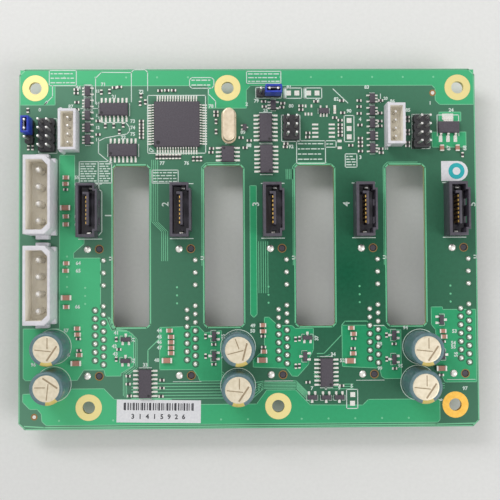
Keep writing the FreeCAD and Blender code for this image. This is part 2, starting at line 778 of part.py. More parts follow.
# Chips: moulded bodies with a bevelled top, on rows of bent leads
def chip_body(length, width, height):
    """A moulded body at the origin, a little clear of the board."""
    lift = size("chip_standoff")
    bevel = size("chip_bevel")
    body = block(0, 0, lift, length, width, height - lift)
    return body.makeChamfer(bevel, edges_at(body, height))


def lead_row(count, pitch, width, body_half, span_half, shoulder):
    """A row of leads on the +X side of a body, each widening to its foot."""
    profile = (
        (body_half, shoulder + size("lead_thickness")),
        (body_half, shoulder),
        (span_half - size("lead_foot"), 0),
        (span_half, 0),
    )
    leads = []
    for step in range(count):
        y = (step - (count - 1) / 2) * pitch
        points = [FreeCAD.Vector(x, y - width / 2, z) for x, z in profile]
        face = Part.Face(Part.makePolygon(points + points[:1]))
        leads.append(face.extrude(FreeCAD.Vector(0, width, 0)))
    return leads


controller_x, controller_y = bay_x[1] - 4.1, slot_top + 12.72
controller_body = chip_body(size("controller_side"), size("controller_side"),
                            size("controller_height"))
add_piece("controller_chip", [controller_body], controller_x, controller_y)
controller_row = lead_row(16, size("controller_pitch"), size("controller_lead_width"),
                          size("controller_side") / 2, size("controller_span") / 2,
                          size("controller_height") / 2)
add_piece("controller_leads", [turned(lead, 0, 0, angle) for angle in (0, 90, 180, 270)
                               for lead in controller_row], controller_x, controller_y)

# Six logic chips: centre and turn of each
LOGIC_PLACES = (
    (bay_x[0] + 4.6, slot_top + 17.35, 0),
    (bay_x[0] + 7.36, slot_top + 4.8, 0),
    (bay_x[2] - 4.82, slot_top + 11.64, 90),
    (bay_x[2] - 4.66, slot_top + 1.95, 90),
    (bay_x[0] + 14.0, slot_bottom - 17.2, 90),
    (bay_x[2] + 13.3, slot_bottom - 14.2, 90),
)
logic_body = chip_body(size("logic_length"), size("logic_width"), size("logic_height"))
logic_row = [turned(lead, 0, 0, 90) for lead in lead_row(
    7, size("logic_pitch"), size("logic_lead_width"), size("logic_width") / 2,
    size("logic_span") / 2, size("logic_height") / 2)]
add_piece("logic_chips", [turned(logic_body, x, y, angle) for x, y, angle in LOGIC_PLACES])
add_piece("logic_leads", [turned(lead, x, y, angle + side) for x, y, angle in LOGIC_PLACES
                          for side in (0, 180) for lead in logic_row])

memory_x, memory_y = bay_x[1] + 11.5, slot_top + 3.54
memory_body = chip_body(size("memory_length"), size("logic_width"), size("logic_height"))
add_piece("memory_chip", [memory_body], memory_x, memory_y, angle=90)
memory_row = lead_row(4, size("logic_pitch"), size("logic_lead_width"), size("logic_width") / 2,
                      size("logic_span") / 2, size("logic_height") / 2)
add_piece("memory_leads", [turned(lead, 0, 0, side) for side in (0, 180)
                           for lead in memory_row], memory_x, memory_y)

# Regulator: a body with a wide cooling tab on one side and three leads
regulator_x, regulator_y = bay_x[4] - 4.4, slot_top + 11.56
regulator_body = chip_body(size("regulator_length"), size("regulator_width"),
                           size("regulator_height"))
add_piece("regulator", [regulator_body], regulator_x, regulator_y)
regulator_half = size("regulator_width") / 2
regulator_reach = size("regulator_span") / 2
regulator_tab = lead_row(1, 0, size("regulator_tab_width"), regulator_half, regulator_reach,
                         size("regulator_height") / 2)
regulator_row = lead_row(3, size("regulator_pitch"), size("regulator_lead_width"),
                         regulator_half, regulator_reach, size("regulator_height") / 2)
regulator_metal = [turned(lead, 0, 0, 90) for lead in regulator_tab]
regulator_metal += [turned(lead, 0, 0, 270) for lead in regulator_row]
add_piece("regulator_leads", regulator_metal, regulator_x, regulator_y)

# Small gates in two columns and above them, and single transistors
GATE_PLACES = (
    [(bay_x[0] - 3.47, slot_top + 8.1 + 3.75 * step, 90) for step in range(5)]
    + [(bay_x[3] + 0.15, slot_top + 5.2 + 3.87 * step, 90) for step in range(5)]
    + [(bay_x[2] - 2.43, slot_top + 18.66, 90), (bay_x[2] + 13.17, slot_top + 16.8, 0)]
)
gate_body = block(0, 0, size("chip_standoff"), size("gate_length"), size("gate_width"),
                  size("gate_height") - size("chip_standoff"))
add_piece("gate_chips", [turned(gate_body, x, y, angle) for x, y, angle in GATE_PLACES])

TRANSISTOR_PLACES = (
    (bay_x[0] + 8.08, slot_bottom - 3.75, 0), (bay_x[0] + 7.98, slot_bottom - 10.23, 0),
    (bay_x[1] + 7.0, slot_bottom - 2.97, 90), (bay_x[1] + 6.97, slot_bottom - 8.98, 90),
    (bay_x[2] + 7.56, slot_bottom - 3.57, 0), (bay_x[2] + 6.78, slot_bottom - 9.34, 90),
    (bay_x[3] + 6.1, slot_bottom - 3.03, 90), (bay_x[3] + 6.07, slot_bottom - 10.37, 90),
    (bay_x[4] - 7.26, slot_bottom + 1.56, 90), (bay_x[4] - 7.0, slot_bottom - 9.1, 90),
    (bay_x[2] + 8.84, slot_bottom - 21.75, 0), (bay_x[2] + 13.14, slot_bottom - 21.8, 0),
    (bay_x[2] + 17.17, slot_bottom - 21.8, 0),
)
transistor_body = block(0, 0, size("chip_standoff"), size("gate_length"),
                        size("transistor_width"),
                        size("transistor_height") - size("chip_standoff"))
transistor_bodies = [turned(transistor_body, x, y, angle) for x, y, angle in TRANSISTOR_PLACES]
add_piece("transistors", transistor_bodies)


# Crystal: a drawn can on a wider flange, both with round ends
def round_ended(length, width, height):
    """An upright prism with half-round ends, long in Y."""
    radius = width / 2
    straight = length / 2 - radius
    corners = []
    for end in (1, -1):
        for step in range(7):
            swing = math.radians(30 * step)
            corners.append((end * radius * math.cos(swing),
                            end * (straight + radius * math.sin(swing))))
    return prism(corners, 0, height)


crystal_flange = round_ended(size("crystal_flange_length"), size("crystal_flange_width"),
                             size("crystal_flange_height"))
crystal_can = round_ended(size("crystal_can_length"), size("crystal_can_width"),
                          size("crystal_height"))
add_piece("crystal", [crystal_flange.fuse(crystal_can)], bay_x[1] + 11.86, slot_top + 12.3)

# Capacitors: sealed round cans in a sleeve, their top edges rolled in. The
# left pair follows the power headers, the others stand below the air slots
power_end_y = worked_out(f"{POWER_Y['lower']} - {POWER_REACH} / 2")
first_capacitor_y = power_end_y - size("capacitor_gap") - size("capacitor_diameter") / 2
CAPACITOR_PLACES = (
    (bay_x[0] - 13.85, first_capacitor_y), (bay_x[0] - 13.85, first_capacitor_y - 11.4),
    (bay_x[1] + 14.3, slot_bottom - 6.4), (bay_x[1] + 14.26, slot_bottom - 18.1),
    (bay_x[3] + 14.1, slot_bottom - 6.6), (bay_x[3] + 13.4, slot_bottom - 17.6),
)
CAN_SIDES = 20
can_height = size("capacitor_height")
can = prism(regular(size("capacitor_diameter") / 2, CAN_SIDES), 0, can_height)
can = can.makeChamfer(size("capacitor_bevel"), edges_at(can, can_height))
add_piece("capacitors", [turned(can, x, y, 0) for x, y in CAPACITOR_PLACES])

# Chip capacitors: centre of each, small and large, lying along X
SMALL_CHIP_PLACES = (
    (bay_x[0] - 10.05, slot_top - 3.52), (bay_x[0] - 10.14, slot_top - 5.49),
    (bay_x[0] - 10.04, slot_top - 15.45), (bay_x[0] - 10.04, slot_top - 17.89),
    (bay_x[0] - 9.93, slot_top - 29.78), (bay_x[0] - 10.12, slot_top - 32.06),
    (bay_x[0] - 9.92, slot_top - 43.08), (bay_x[0] - 6.61, slot_bottom - 0.34),
    (bay_x[0] - 6.49, slot_bottom - 2.16), (bay_x[0] - 6.0, slot_bottom - 8.38),
    (bay_x[1] - 6.56, slot_bottom - 1.14), (bay_x[1] - 6.08, slot_bottom - 3.06),
    (bay_x[1] - 6.08, slot_bottom - 4.7), (bay_x[1] - 6.08, slot_bottom - 6.4),
    (bay_x[1] - 6.08, slot_bottom - 8.0), (bay_x[2] - 6.07, slot_bottom + 0.3),
    (bay_x[2] - 6.02, slot_bottom - 1.56), (bay_x[2] - 5.84, slot_bottom - 7.74),
    (bay_x[3] - 7.04, slot_bottom - 0.71), (bay_x[3] - 6.35, slot_bottom - 2.55),
    (bay_x[3] - 6.54, slot_bottom - 8.49), (bay_x[4] - 6.88, slot_bottom - 1.86),
    (bay_x[4] - 6.6, slot_bottom - 3.57),
)
LARGE_CHIP_PLACES = (
    (bay_x[0] - 10.22, slot_top - 12.81), (bay_x[0] - 9.93, slot_top - 40.26),
    (bay_x[0] - 6.97, slot_bottom - 10.89), (bay_x[1] - 7.35, slot_bottom - 10.22),
    (bay_x[2] - 6.35, slot_bottom - 10.32), (bay_x[3] - 7.45, slot_bottom - 10.71),
    (bay_x[4] - 7.5, slot_bottom - 13.24),
)
chip_parts = [block(x, y, 0, size("small_chip_length"), size("small_chip_width"),
                    size("small_chip_height")) for x, y in SMALL_CHIP_PLACES]
chip_parts += [block(x, y, 0, size("large_chip_length"), size("large_chip_width"),
                     size("large_chip_height")) for x, y in LARGE_CHIP_PLACES]
for offset in (-6.43, -1.59):
    chip_parts.append(block(bay_x[4] + offset, slot_top + 5.2, 0, size("small_chip_width"),
                            size("small_chip_length"), size("small_chip_height")))
add_piece("chip_capacitors", chip_parts)

# Indicator lamp near the top edge
add_piece("indicator", [block(0, 0, 0, size("indicator_length"), size("indicator_width"),
                              size("indicator_height"))], bay_x[2] + 16.57, slot_top + 17.28)

# Paper labels: a long one near the lower edge and a small one with a round end
add_piece("serial_label", [block(0, 0, 0, size("label_length"), size("label_width"),
                                 size("label_thickness"))],
          bay_x[1] - 9.93, slot_bottom - 25.68, angle=-1)

sticker_radius = size("sticker_width") / 2
straight = size("sticker_length") - sticker_radius
sticker_corners = [(-straight / 2, sticker_radius), (-straight / 2, -sticker_radius)]
for step in range(9):
    swing = math.radians(22.5 * step - 90)
    sticker_corners.append((straight / 2 + sticker_radius * math.cos(swing),
                            sticker_radius * math.sin(swing)))
add_piece("inspection_label", [prism(sticker_corners, 0, size("label_thickness"))],
          bay_x[4] - 4.04, slot_top - 1.93)

# Check and write every piece
doc.recompute()
for item in doc.Objects:
    if "Invalid" in item.State or "Error" in item.State:
        raise RuntimeError(f"{item.Label} failed to build: {item.State}")
pieces = [item for item in doc.Objects
          if item.TypeId in ("PartDesign::Body", "Part::Feature")]
os.makedirs("parts", exist_ok=True)
for piece in pieces:
    if piece.Shape.isNull() or not piece.Shape.isValid():
        raise RuntimeError(f"{piece.Label} has no valid shape")
    piece.Shape.exportStep(f"parts/{piece.Label}.step")
print(f"{len(pieces)} pieces written")
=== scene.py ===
import json
import math

import bmesh
import bpy
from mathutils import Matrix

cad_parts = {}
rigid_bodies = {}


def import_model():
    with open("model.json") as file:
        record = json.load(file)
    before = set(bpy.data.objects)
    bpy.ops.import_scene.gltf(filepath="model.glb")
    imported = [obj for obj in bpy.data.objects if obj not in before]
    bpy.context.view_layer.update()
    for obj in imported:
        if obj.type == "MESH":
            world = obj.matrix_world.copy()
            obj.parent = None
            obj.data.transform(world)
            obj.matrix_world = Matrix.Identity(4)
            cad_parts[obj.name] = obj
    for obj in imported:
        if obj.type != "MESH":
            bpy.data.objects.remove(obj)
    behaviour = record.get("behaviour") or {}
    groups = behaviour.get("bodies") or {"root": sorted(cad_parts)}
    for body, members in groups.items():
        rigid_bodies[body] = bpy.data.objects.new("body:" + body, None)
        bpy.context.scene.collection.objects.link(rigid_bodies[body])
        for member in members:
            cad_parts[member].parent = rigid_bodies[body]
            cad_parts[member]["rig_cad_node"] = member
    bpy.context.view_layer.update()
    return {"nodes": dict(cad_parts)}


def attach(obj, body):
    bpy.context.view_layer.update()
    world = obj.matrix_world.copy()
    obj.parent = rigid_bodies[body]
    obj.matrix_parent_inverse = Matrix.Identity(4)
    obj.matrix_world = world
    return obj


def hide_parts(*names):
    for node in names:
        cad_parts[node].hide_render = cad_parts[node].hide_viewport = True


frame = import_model()
nodes = frame["nodes"]

# Circuit board: glass cloth in resin with copper on both faces, under a glossy
# green mask. It is routed to its outline, so the pale laminate shows at the
# edges of the sheet and of the four air slots.
MM = 0.001
BOARD_UNDERSIDE = 8.4
BOARD_TOP = 10.0
BAY_X = (-45.8, -17.8, 10.2, 38.2, 66.2)
SLOT_BOTTOM = -24.1
SLOT_TOP = 25.2
SOCKET_Y = -19.65


def colour(parts):
    """A colour given from 0 to 255, in the shader's linear scale."""
    return tuple(((part / 255 + 0.055) / 1.055) ** 2.4 for part in parts) + (1.0,)


def finish(name, main, other, rough, metal=0.0, grain=900.0, relief=0.02, gloss=0.5):
    """A finish whose colour, roughness and surface change with a fine grain."""
    material = bpy.data.materials.new(name)
    material.use_nodes = True
    tree = material.node_tree
    shader = tree.nodes["Principled BSDF"]
    shader.inputs["Metallic"].default_value = metal
    shader.inputs["Specular IOR Level"].default_value = gloss
    place = tree.nodes.new("ShaderNodeTexCoord")
    noise = tree.nodes.new("ShaderNodeTexNoise")
    noise.inputs["Scale"].default_value = grain
    noise.inputs["Detail"].default_value = 4.0
    tree.links.new(place.outputs["Object"], noise.inputs["Vector"])
    tint = tree.nodes.new("ShaderNodeValToRGB")
    tint.color_ramp.elements[0].position = 0.3
    tint.color_ramp.elements[0].color = colour(main)
    tint.color_ramp.elements[1].position = 0.7
    tint.color_ramp.elements[1].color = colour(other)
    tree.links.new(noise.outputs["Fac"], tint.inputs["Fac"])
    tree.links.new(tint.outputs["Color"], shader.inputs["Base Color"])
    sheen = tree.nodes.new("ShaderNodeMapRange")
    sheen.inputs["To Min"].default_value = rough - 0.06
    sheen.inputs["To Max"].default_value = rough + 0.06
    tree.links.new(noise.outputs["Fac"], sheen.inputs["Value"])
    tree.links.new(sheen.outputs["Result"], shader.inputs["Roughness"])
    bump = tree.nodes.new("ShaderNodeBump")
    bump.inputs["Strength"].default_value = 0.4
    bump.inputs["Distance"].default_value = relief * MM
    tree.links.new(noise.outputs["Fac"], bump.inputs["Height"])
    tree.links.new(bump.outputs["Normal"], shader.inputs["Normal"])
    return material


def fade(material, centre, reach, outer):
    """Turn a finish's colour to another with the distance from a place in millimetres."""
    tree = material.node_tree
    shader = tree.nodes["Principled BSDF"]
    inner = shader.inputs["Base Color"].links[0].from_socket
    place = tree.nodes.new("ShaderNodeTexCoord")
    spread = tree.nodes.new("ShaderNodeMapping")
    spread.inputs["Location"].default_value = [-part / reach for part in centre]
    spread.inputs["Scale"].default_value = [1 / (reach * MM)] * 3
    tree.links.new(place.outputs["Object"], spread.inputs["Vector"])
    ball = tree.nodes.new("ShaderNodeTexGradient")
    ball.gradient_type = "SPHERICAL"
    tree.links.new(spread.outputs["Vector"], ball.inputs["Vector"])
    mix = tree.nodes.new("ShaderNodeMix")
    mix.data_type = "RGBA"
    mix.inputs[6].default_value = colour(outer)
    tree.links.new(ball.outputs["Fac"], mix.inputs["Factor"])
    tree.links.new(inner, mix.inputs[7])
    tree.links.new(mix.outputs[2], shader.inputs["Base Color"])


def cloth(material, pitch):
    """Raise the crossing threads of the glass cloth a little in a finish."""
    tree = material.node_tree
    shader = tree.nodes["Principled BSDF"]
    place = tree.nodes.new("ShaderNodeTexCoord")
    crossing = tree.nodes.new("ShaderNodeMath")
    crossing.operation = "ADD"
    for socket, direction in zip(crossing.inputs, ("X", "Y")):
        threads = tree.nodes.new("ShaderNodeTexWave")
        threads.bands_direction = direction
        threads.inputs["Scale"].default_value = math.pi / (10 * pitch * MM)
        tree.links.new(place.outputs["Object"], threads.inputs["Vector"])
        tree.links.new(threads.outputs["Fac"], socket)
    bump = tree.nodes.new("ShaderNodeBump")
    bump.inputs["Strength"].default_value = 0.25
    bump.inputs["Distance"].default_value = 0.01 * MM
    tree.links.new(crossing.outputs[0], bump.inputs["Height"])
    tree.links.new(shader.inputs["Normal"].links[0].from_socket, bump.inputs["Normal"])
    tree.links.new(bump.outputs["Normal"], shader.inputs["Normal"])


def dress(material, *names):
    """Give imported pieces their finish."""
    for name in names:
        nodes[name].data.materials.clear()
        nodes[name].data.materials.append(material)


# Middle and reach, in millimetres, of a painted reflection of the lamps on the glossy mask: the
# green turns paler away from this place.
PAINTED_SHEEN_CENTRE = (30, -8, 10)
PAINTED_SHEEN_REACH = 120
mask = finish("mask_over_laminate", (6, 84, 56), (16, 94, 64), 0.34, gloss=0.14)
# Painted reflection: the mask turns pale green away from the board's right middle.
fade(mask, PAINTED_SHEEN_CENTRE, PAINTED_SHEEN_REACH, (104, 152, 126))
cloth(mask, 0.5)
tree = mask.node_tree
shader = tree.nodes["Principled BSDF"]
facing = tree.nodes.new("ShaderNodeNewGeometry")
parts = tree.nodes.new("ShaderNodeSeparateXYZ")
upright = tree.nodes.new("ShaderNodeMath")
upright.operation = "ABSOLUTE"
edge = tree.nodes.new("ShaderNodeMath")
edge.operation = "LESS_THAN"
edge.inputs[1].default_value = 0.5
laminate = tree.nodes.new("ShaderNodeMix")
laminate.data_type = "RGBA"
laminate.inputs[7].default_value = colour((176, 190, 128))
tree.links.new(facing.outputs["Normal"], parts.inputs["Vector"])
tree.links.new(parts.outputs["Z"], upright.inputs[0])
tree.links.new(upright.outputs[0], edge.inputs[0])
tree.links.new(edge.outputs[0], laminate.inputs["Factor"])
tree.links.new(shader.inputs["Base Color"].links[0].from_socket, laminate.inputs[6])
tree.links.new(laminate.outputs[2], shader.inputs["Base Color"])
dress(mask, "circuit_board")

# Copper pours: wide areas of the etched copper foil, which stand a little proud
# and make the mask over them a brighter green. Their holes clear the mounting
# rings and the pegs of the sockets.
FOIL = 0.02
POUR_LEVEL = BOARD_TOP + FOIL
HOLE_PLACES = ((-65.35, 49.3), (-6.3, 49.3), (64.95, 49.3), (-49.0, -48.5), (8.7, -48.5),
               (63.0, -48.5))
PEG_REACH = 19.35
RING_CLEARANCE = 4.05
PEG_CLEARANCE = 1.3


def start(name):
    """An empty piece at the origin, open for modelling."""
    bpy.ops.object.select_all(action="DESELECT")
    bpy.ops.mesh.primitive_plane_add(size=MM)
    piece = bpy.context.object
    piece.name = name
    piece.data.name = name
    bpy.ops.object.mode_set(mode="EDIT")
    bpy.ops.mesh.delete(type="VERT")
    return piece


def raise_face(height, inset=0.0):
    """Draw the selected faces up, or step them in and then up."""
    if inset:
        bpy.ops.mesh.inset(thickness=inset * MM)
        bpy.ops.transform.translate(value=(0, 0, height * MM))
    else:
        bpy.ops.mesh.extrude_region_move(TRANSFORM_OT_translate={"value": (0, 0, height * MM)})


def face_out():
    """Turn every face of the open piece outwards."""
    bpy.ops.mesh.select_all(action="SELECT")
    bpy.ops.mesh.normals_make_consistent(inside=False)


def thicken(height):
    """Turn the flat shapes of the open piece into a layer that reaches down from them."""
    bpy.ops.mesh.select_all(action="SELECT")
    raise_face(-height)
    face_out()


def shut():
    """End the work on the open piece's mesh."""
    if bpy.context.object.mode == "EDIT":
        bpy.ops.object.mode_set(mode="OBJECT")


def close(piece, material, slot, *replaced):
    """Give a modelled piece its finish and the board that carries it; the slot is not used."""
    shut()
    piece.data.materials.clear()
    piece.data.materials.append(material)
    if replaced:
        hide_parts(*replaced)
    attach(piece, "root")


def area(corners, level):
    """A flat area with any number of corners, in millimetres."""
    bpy.ops.mesh.select_all(action="DESELECT")
    bpy.ops.mesh.primitive_circle_add(vertices=len(corners), radius=MM, fill_type="NGON")
    mesh = bmesh.from_edit_mesh(bpy.context.object.data)
    shape = next(face for face in mesh.faces if face.select)
    for vertex, (x, y) in zip(shape.verts, corners):
        vertex.co = (x * MM, y * MM, level * MM)
    bmesh.update_edit_mesh(bpy.context.object.data)


def disc(x, y, level, radius, sides=16):
    """A flat disc, in millimetres."""
    bpy.ops.mesh.primitive_circle_add(vertices=sides, radius=radius * MM, fill_type="NGON",
                                      location=(x * MM, y * MM, level * MM))


TOP_POURS = (
    # Along the top edge, stepping down round the three holes
    ((-69.9, 54.8), (-69.9, 44.1), (-59.3, 44.1), (-59.3, 50.0), (-12.3, 50.0), (-12.3, 43.0),
     (-0.5, 43.0), (-0.5, 48.6), (0.8, 50.0), (57.0, 50.0), (58.0, 49.0), (58.0, 45.3),
     (59.3, 44.0), (69.9, 44.0), (69.9, 54.8)),
    # Beside the power headers and round the first socket's tails
    ((-57.9, 28.6), (-57.9, -24.5), (-68.9, -24.5), (-68.9, -39.4), (-68.2, -40.2),
     (-52.5, -40.2), (-50.5, -37.1), (-44.4, -37.1), (-43.9, -39.0), (-39.2, -39.0),
     (-39.2, -38.2), (-35.4, -35.9), (-35.4, -26.9), (-36.8, -25.5), (-42.0, -25.2),
     (-43.7, -21.4), (-45.4, -20.8), (-45.4, -3.0), (-53.6, -3.0), (-53.6, -1.4),
     (-50.4, 1.4), (-50.4, 7.1), (-51.9, 7.1), (-53.3, 8.4), (-53.3, 28.6)),
    # Along the lower edge
    ((-69.0, -44.3), (-69.0, -46.7), (-66.9, -48.9), (-64.6, -48.9), (-63.4, -50.3),
     (-63.2, -52.6), (-61.9, -53.8), (57.5, -53.8), (58.2, -53.0), (58.2, -47.3),
     (57.6, -46.7), (36.3, -46.7), (34.5, -48.4), (18.4, -48.2), (14.0, -43.6), (5.2, -43.6),
     (2.1, -47.8), (-23.0, -47.8), (-24.0, -46.1), (-41.2, -46.1), (-44.4, -42.8),
     (-54.2, -42.8), (-55.2, -43.9)),
    # Round the tails of the other four sockets
    ((-27.4, -24.3), (-27.4, -37.2), (-17.2, -37.2), (-15.8, -39.2), (-15.2, -40.7),
     (-8.5, -40.7), (-8.5, -25.4), (-13.7, -26.0), (-15.6, -24.0)),
    ((4.6, -21.4), (4.6, -31.2), (1.1, -34.4), (1.1, -36.6), (11.2, -37.0), (13.0, -39.4),
     (14.7, -39.5), (18.1, -35.8), (18.2, -34.0), (19.6, -31.4), (19.6, -24.9),
     (14.0, -24.9), (13.1, -24.0), (8.8, -24.0), (6.0, -21.4)),
    ((28.4, -24.0), (28.4, -36.6), (39.8, -37.2), (40.4, -39.7), (41.4, -40.4),
     (46.5, -40.4), (46.5, -25.6), (42.4, -25.3), (41.2, -24.1)),
    ((55.9, -18.6), (55.9, -24.0), (57.2, -25.6), (57.2, -36.4), (59.9, -41.6),
     (69.6, -41.6), (69.6, -19.4), (59.4, -19.4), (59.4, -18.6)),
    # Round the regulator, and the wide strip between the second and third slots
    ((59.1, 41.6), (59.1, 38.8), (65.9, 38.8), (65.9, 41.6)),
    ((56.9, 35.4), (56.9, 30.7), (67.4, 30.7), (67.4, 35.4)),
    ((0.4, 19.0), (0.4, -20.5), (1.4, -21.5), (2.4, -20.5), (2.4, 19.0)),
)
UNDERSIDE_POURS = (
    ((-69.9, 54.8), (-69.9, 44.0), (69.9, 44.0), (69.9, 54.8)),
    ((-69.0, -43.0), (-69.0, -53.8), (69.0, -53.8), (69.0, -43.0)),
    ((-69.0, 30.0), (-69.0, -38.0), (-55.0, -38.0), (-55.0, 30.0)),
)
pours = start("copper_pours")
for corners in TOP_POURS:
    area(corners, POUR_LEVEL)
for corners in UNDERSIDE_POURS:
    area(corners, BOARD_UNDERSIDE)
bpy.ops.mesh.select_all(action="SELECT")
bpy.ops.mesh.quads_convert_to_tris(ngon_method="CLIP")
thicken(FOIL)
shut()

cutter = start("cutter")
for x, y in HOLE_PLACES:
    disc(x, y, BOARD_TOP + 1, RING_CLEARANCE, 40)
for x in BAY_X:
    for side in (-1, 1):
        disc(x, SOCKET_Y + side * PEG_REACH, BOARD_TOP + 1, PEG_CLEARANCE, 20)
thicken(4)
shut()
bpy.ops.object.select_all(action="DESELECT")
bpy.context.view_layer.objects.active = pours
cut = pours.modifiers.new("holes", "BOOLEAN")
cut.operation = "DIFFERENCE"
cut.solver = "EXACT"
cut.object = cutter
bpy.ops.object.modifier_apply(modifier="holes")
bpy.data.objects.remove(cutter)

pour_mask = finish("mask_over_copper", (8, 140, 92), (18, 150, 100), 0.3, gloss=0.14)
# Painted reflection: the mask over copper also turns paler away from the same place.
fade(pour_mask, PAINTED_SHEEN_CENTRE, PAINTED_SHEEN_REACH, (98, 208, 148))
close(pours, pour_mask, "laminate")

# Copper borders: pale strips along every pour, slot and board edge, a painted highlight
# where the foil's rounded edge lifts the mask and catches the light.
BORDER_LEVEL = POUR_LEVEL + 0.004


def strip(points, width, level):
    """A flat strip along a line of points, in millimetres."""
    for (x0, y0), (x1, y1) in zip(points, points[1:]):
        run = math.hypot(x1 - x0, y1 - y0)
        along_x, along_y = (x1 - x0) / run, (y1 - y0) / run
        over = width * 0.3
        half_x, half_y = -along_y * width / 2, along_x * width / 2
        area(((x0 - along_x * over - half_x, y0 - along_y * over - half_y),
              (x1 + along_x * over - half_x, y1 + along_y * over - half_y),
              (x1 + along_x * over + half_x, y1 + along_y * over + half_y),
              (x0 - along_x * over + half_x, y0 - along_y * over + half_y)), level)


def frame_of(left, low, right, high, cut=0.01):
    """The closed outline of a rectangle with its corners cut."""
    return ((left + cut, low), (right - cut, low), (right, low + cut), (right, high - cut),
            (right - cut, high), (left + cut, high), (left, high - cut), (left, low + cut),
            (left + cut, low))


SLOT_START = 4.25
SLOT_WIDTHS = (11.0, 11.8, 11.8, 11.8)
SLOT_BORDER = 0.35
borders = start("painted_glint_borders")
for corners in TOP_POURS:
    strip(corners + corners[:1], 0.2, BORDER_LEVEL)
strip(frame_of(-70.1, -54.95, 70.1, 54.95, 1.8), 0.3, BORDER_LEVEL)
for bay, width in zip(BAY_X, SLOT_WIDTHS):
    left = bay + SLOT_START
    strip(frame_of(left - SLOT_BORDER, SLOT_BOTTOM - SLOT_BORDER, left + width + SLOT_BORDER,
                   SLOT_TOP + SLOT_BORDER, 1.1), 0.4, BORDER_LEVEL)
thicken(FOIL)
# Pale green of a painted highlight on the copper edge, paler still away from the board's right
# middle as a painted reflection.
glint_mask = finish("mask_with_painted_glint", (96, 188, 140), (112, 200, 152), 0.3, gloss=0.2)
fade(glint_mask, PAINTED_SHEEN_CENTRE, PAINTED_SHEEN_REACH, (150, 222, 178))
close(borders, glint_mask, "laminate")

# Conductors: narrow copper lines under the mask, between the sockets, the chips
# below them and the lower edge. They bend at 45 degrees.
TRACE_RISE = 0.016
TRACE_LEVEL = BOARD_TOP + TRACE_RISE
SHIELDED_PAIR = ((-47.0, -22.9), (-45.0, -20.4), (-43.9, -20.4), (-42.7, -21.8),
                 (-42.3, -23.5), (-41.6, -24.6), (-37.2, -25.2), (-35.3, -27.2), (-35.3, -36.0),
                 (-38.5, -38.3), (-38.5, -45.0))
traces = start("conductors")
for step in range(6):
    low = -41.4 - 0.9 * step
    high = -40.9 - 0.45 * step
    strip(((-36, low), (1.1, low), (4.2, high), (14.2, high), (18.5, high - 4.3)), 0.22,
          TRACE_LEVEL)
for step in range(3):
    strip([(x + 0.5 * step, y - 0.3 * step) for x, y in SHIELDED_PAIR], 0.2, TRACE_LEVEL)
strip(((-26.3, -26.6), (-31.0, -31.2), (-31.0, -36.8)), 0.3, TRACE_LEVEL)
strip(((20.7, -32.6), (22.8, -32.6), (28.3, -26.9), (28.3, -24.0), (29.3, -22.8),
       (36.2, -22.8), (36.8, -24.0)), 0.25, TRACE_LEVEL)
strip(((20.7, -33.5), (22.6, -33.6), (24.6, -33.0)), 0.22, TRACE_LEVEL)
for bay in BAY_X[1:4]:
    for step in range(3):
        strip(((bay + 9.5, -38.0 - 0.7 * step), (bay + 13.5, -42.0 - 0.7 * step),
               (bay + 21.5, -42.0 - 0.7 * step)), 0.2, TRACE_LEVEL)
    strip(((bay + 3.4, -5.5), (bay + 3.4, 24.8), (bay + 4.7, 26.1), (bay + 14.0, 26.1)), 0.2,
          TRACE_LEVEL)
for step in range(4):
    strip(((-29.7 + 0.6 * step, 27.0), (-29.7 + 0.6 * step, 8.0), (-26.7 + 0.6 * step, 5.0),
           (-26.7 + 0.6 * step, -4.0)), 0.18, TRACE_LEVEL)
for step in range(5):
    strip(((11.6 + 0.5 * step, 24.0), (11.6 + 0.5 * step, 21.0)), 0.18, TRACE_LEVEL)
    strip(((3.0 + 0.7 * step, 1.8), (3.0 + 0.7 * step, -14.0)), 0.18, TRACE_LEVEL)
strip(((-68.5, -54.0), (-62.5, -54.4), (57.0, -54.4), (69.0, -54.2)), 0.35, TRACE_LEVEL)
thicken(TRACE_RISE)
# The conductors take the borders' pale finish: real copper lines whose brightness is a painted
# highlight of their edges.
close(traces, glint_mask, "laminate")

# Clearances: round every soldered tail the foil is etched away, so a dark ring of
# masked laminate shows in the pours.
CLEAR_RISE = 0.008
CLEAR_LEVEL = POUR_LEVEL + CLEAR_RISE
RIGHT_TAILS = [15.875, 12.065, 8.255] + [1.905 - 2.54 * step for step in range(8)]
LEFT_TAILS = [0.635 - 2.54 * step for step in range(7)]
TAIL_PLACES = [(bay + side, SOCKET_Y + rise) for bay in BAY_X
               for side, rises in ((1.32, RIGHT_TAILS), (-1.24, LEFT_TAILS)) for rise in rises]
clearances = start("foil_clearances")
for x, y in TAIL_PLACES:
    disc(x, y, CLEAR_LEVEL, 1.12, 16)
for x, y in ((-56.0, 21.7), (-42.6, -12.0), (-42.6, -17.0)):
    disc(x, y, CLEAR_LEVEL, 0.5, 12)
thicken(CLEAR_RISE)
close(clearances, mask, "laminate")

# Mounting holes: each has a wide ring of bare gilded copper on both faces, joined
# by the plated wall of the hole. The screw's washer makes contact there.
RING_RISE = 0.03
gold_ring = finish("gilded_ring", (226, 206, 128), (238, 220, 150), 0.36, metal=0.7)
fade(gold_ring, (75, -60, 10), 60, (234, 218, 150))
warm_ring = finish("gilded_ring_warm", (222, 170, 70), (234, 186, 88), 0.36, metal=0.7)


def ring(x, y, level, radius, width, sides):
    """A flat ring, in millimetres."""
    disc(x, y, level, radius, sides)
    bpy.ops.mesh.inset(thickness=width * MM)
    bpy.ops.mesh.delete(type="FACE")


for place, (x, y) in enumerate(HOLE_PLACES, start=1):
    plating = start(f"mounting_ring_{place}")
    ring(x, y, BOARD_TOP + RING_RISE, 4.0, 2.1, 48)
    thicken(BOARD_TOP - BOARD_UNDERSIDE + 2 * RING_RISE)
    close(plating, warm_ring if place == 6 else gold_ring, "gold_contact")

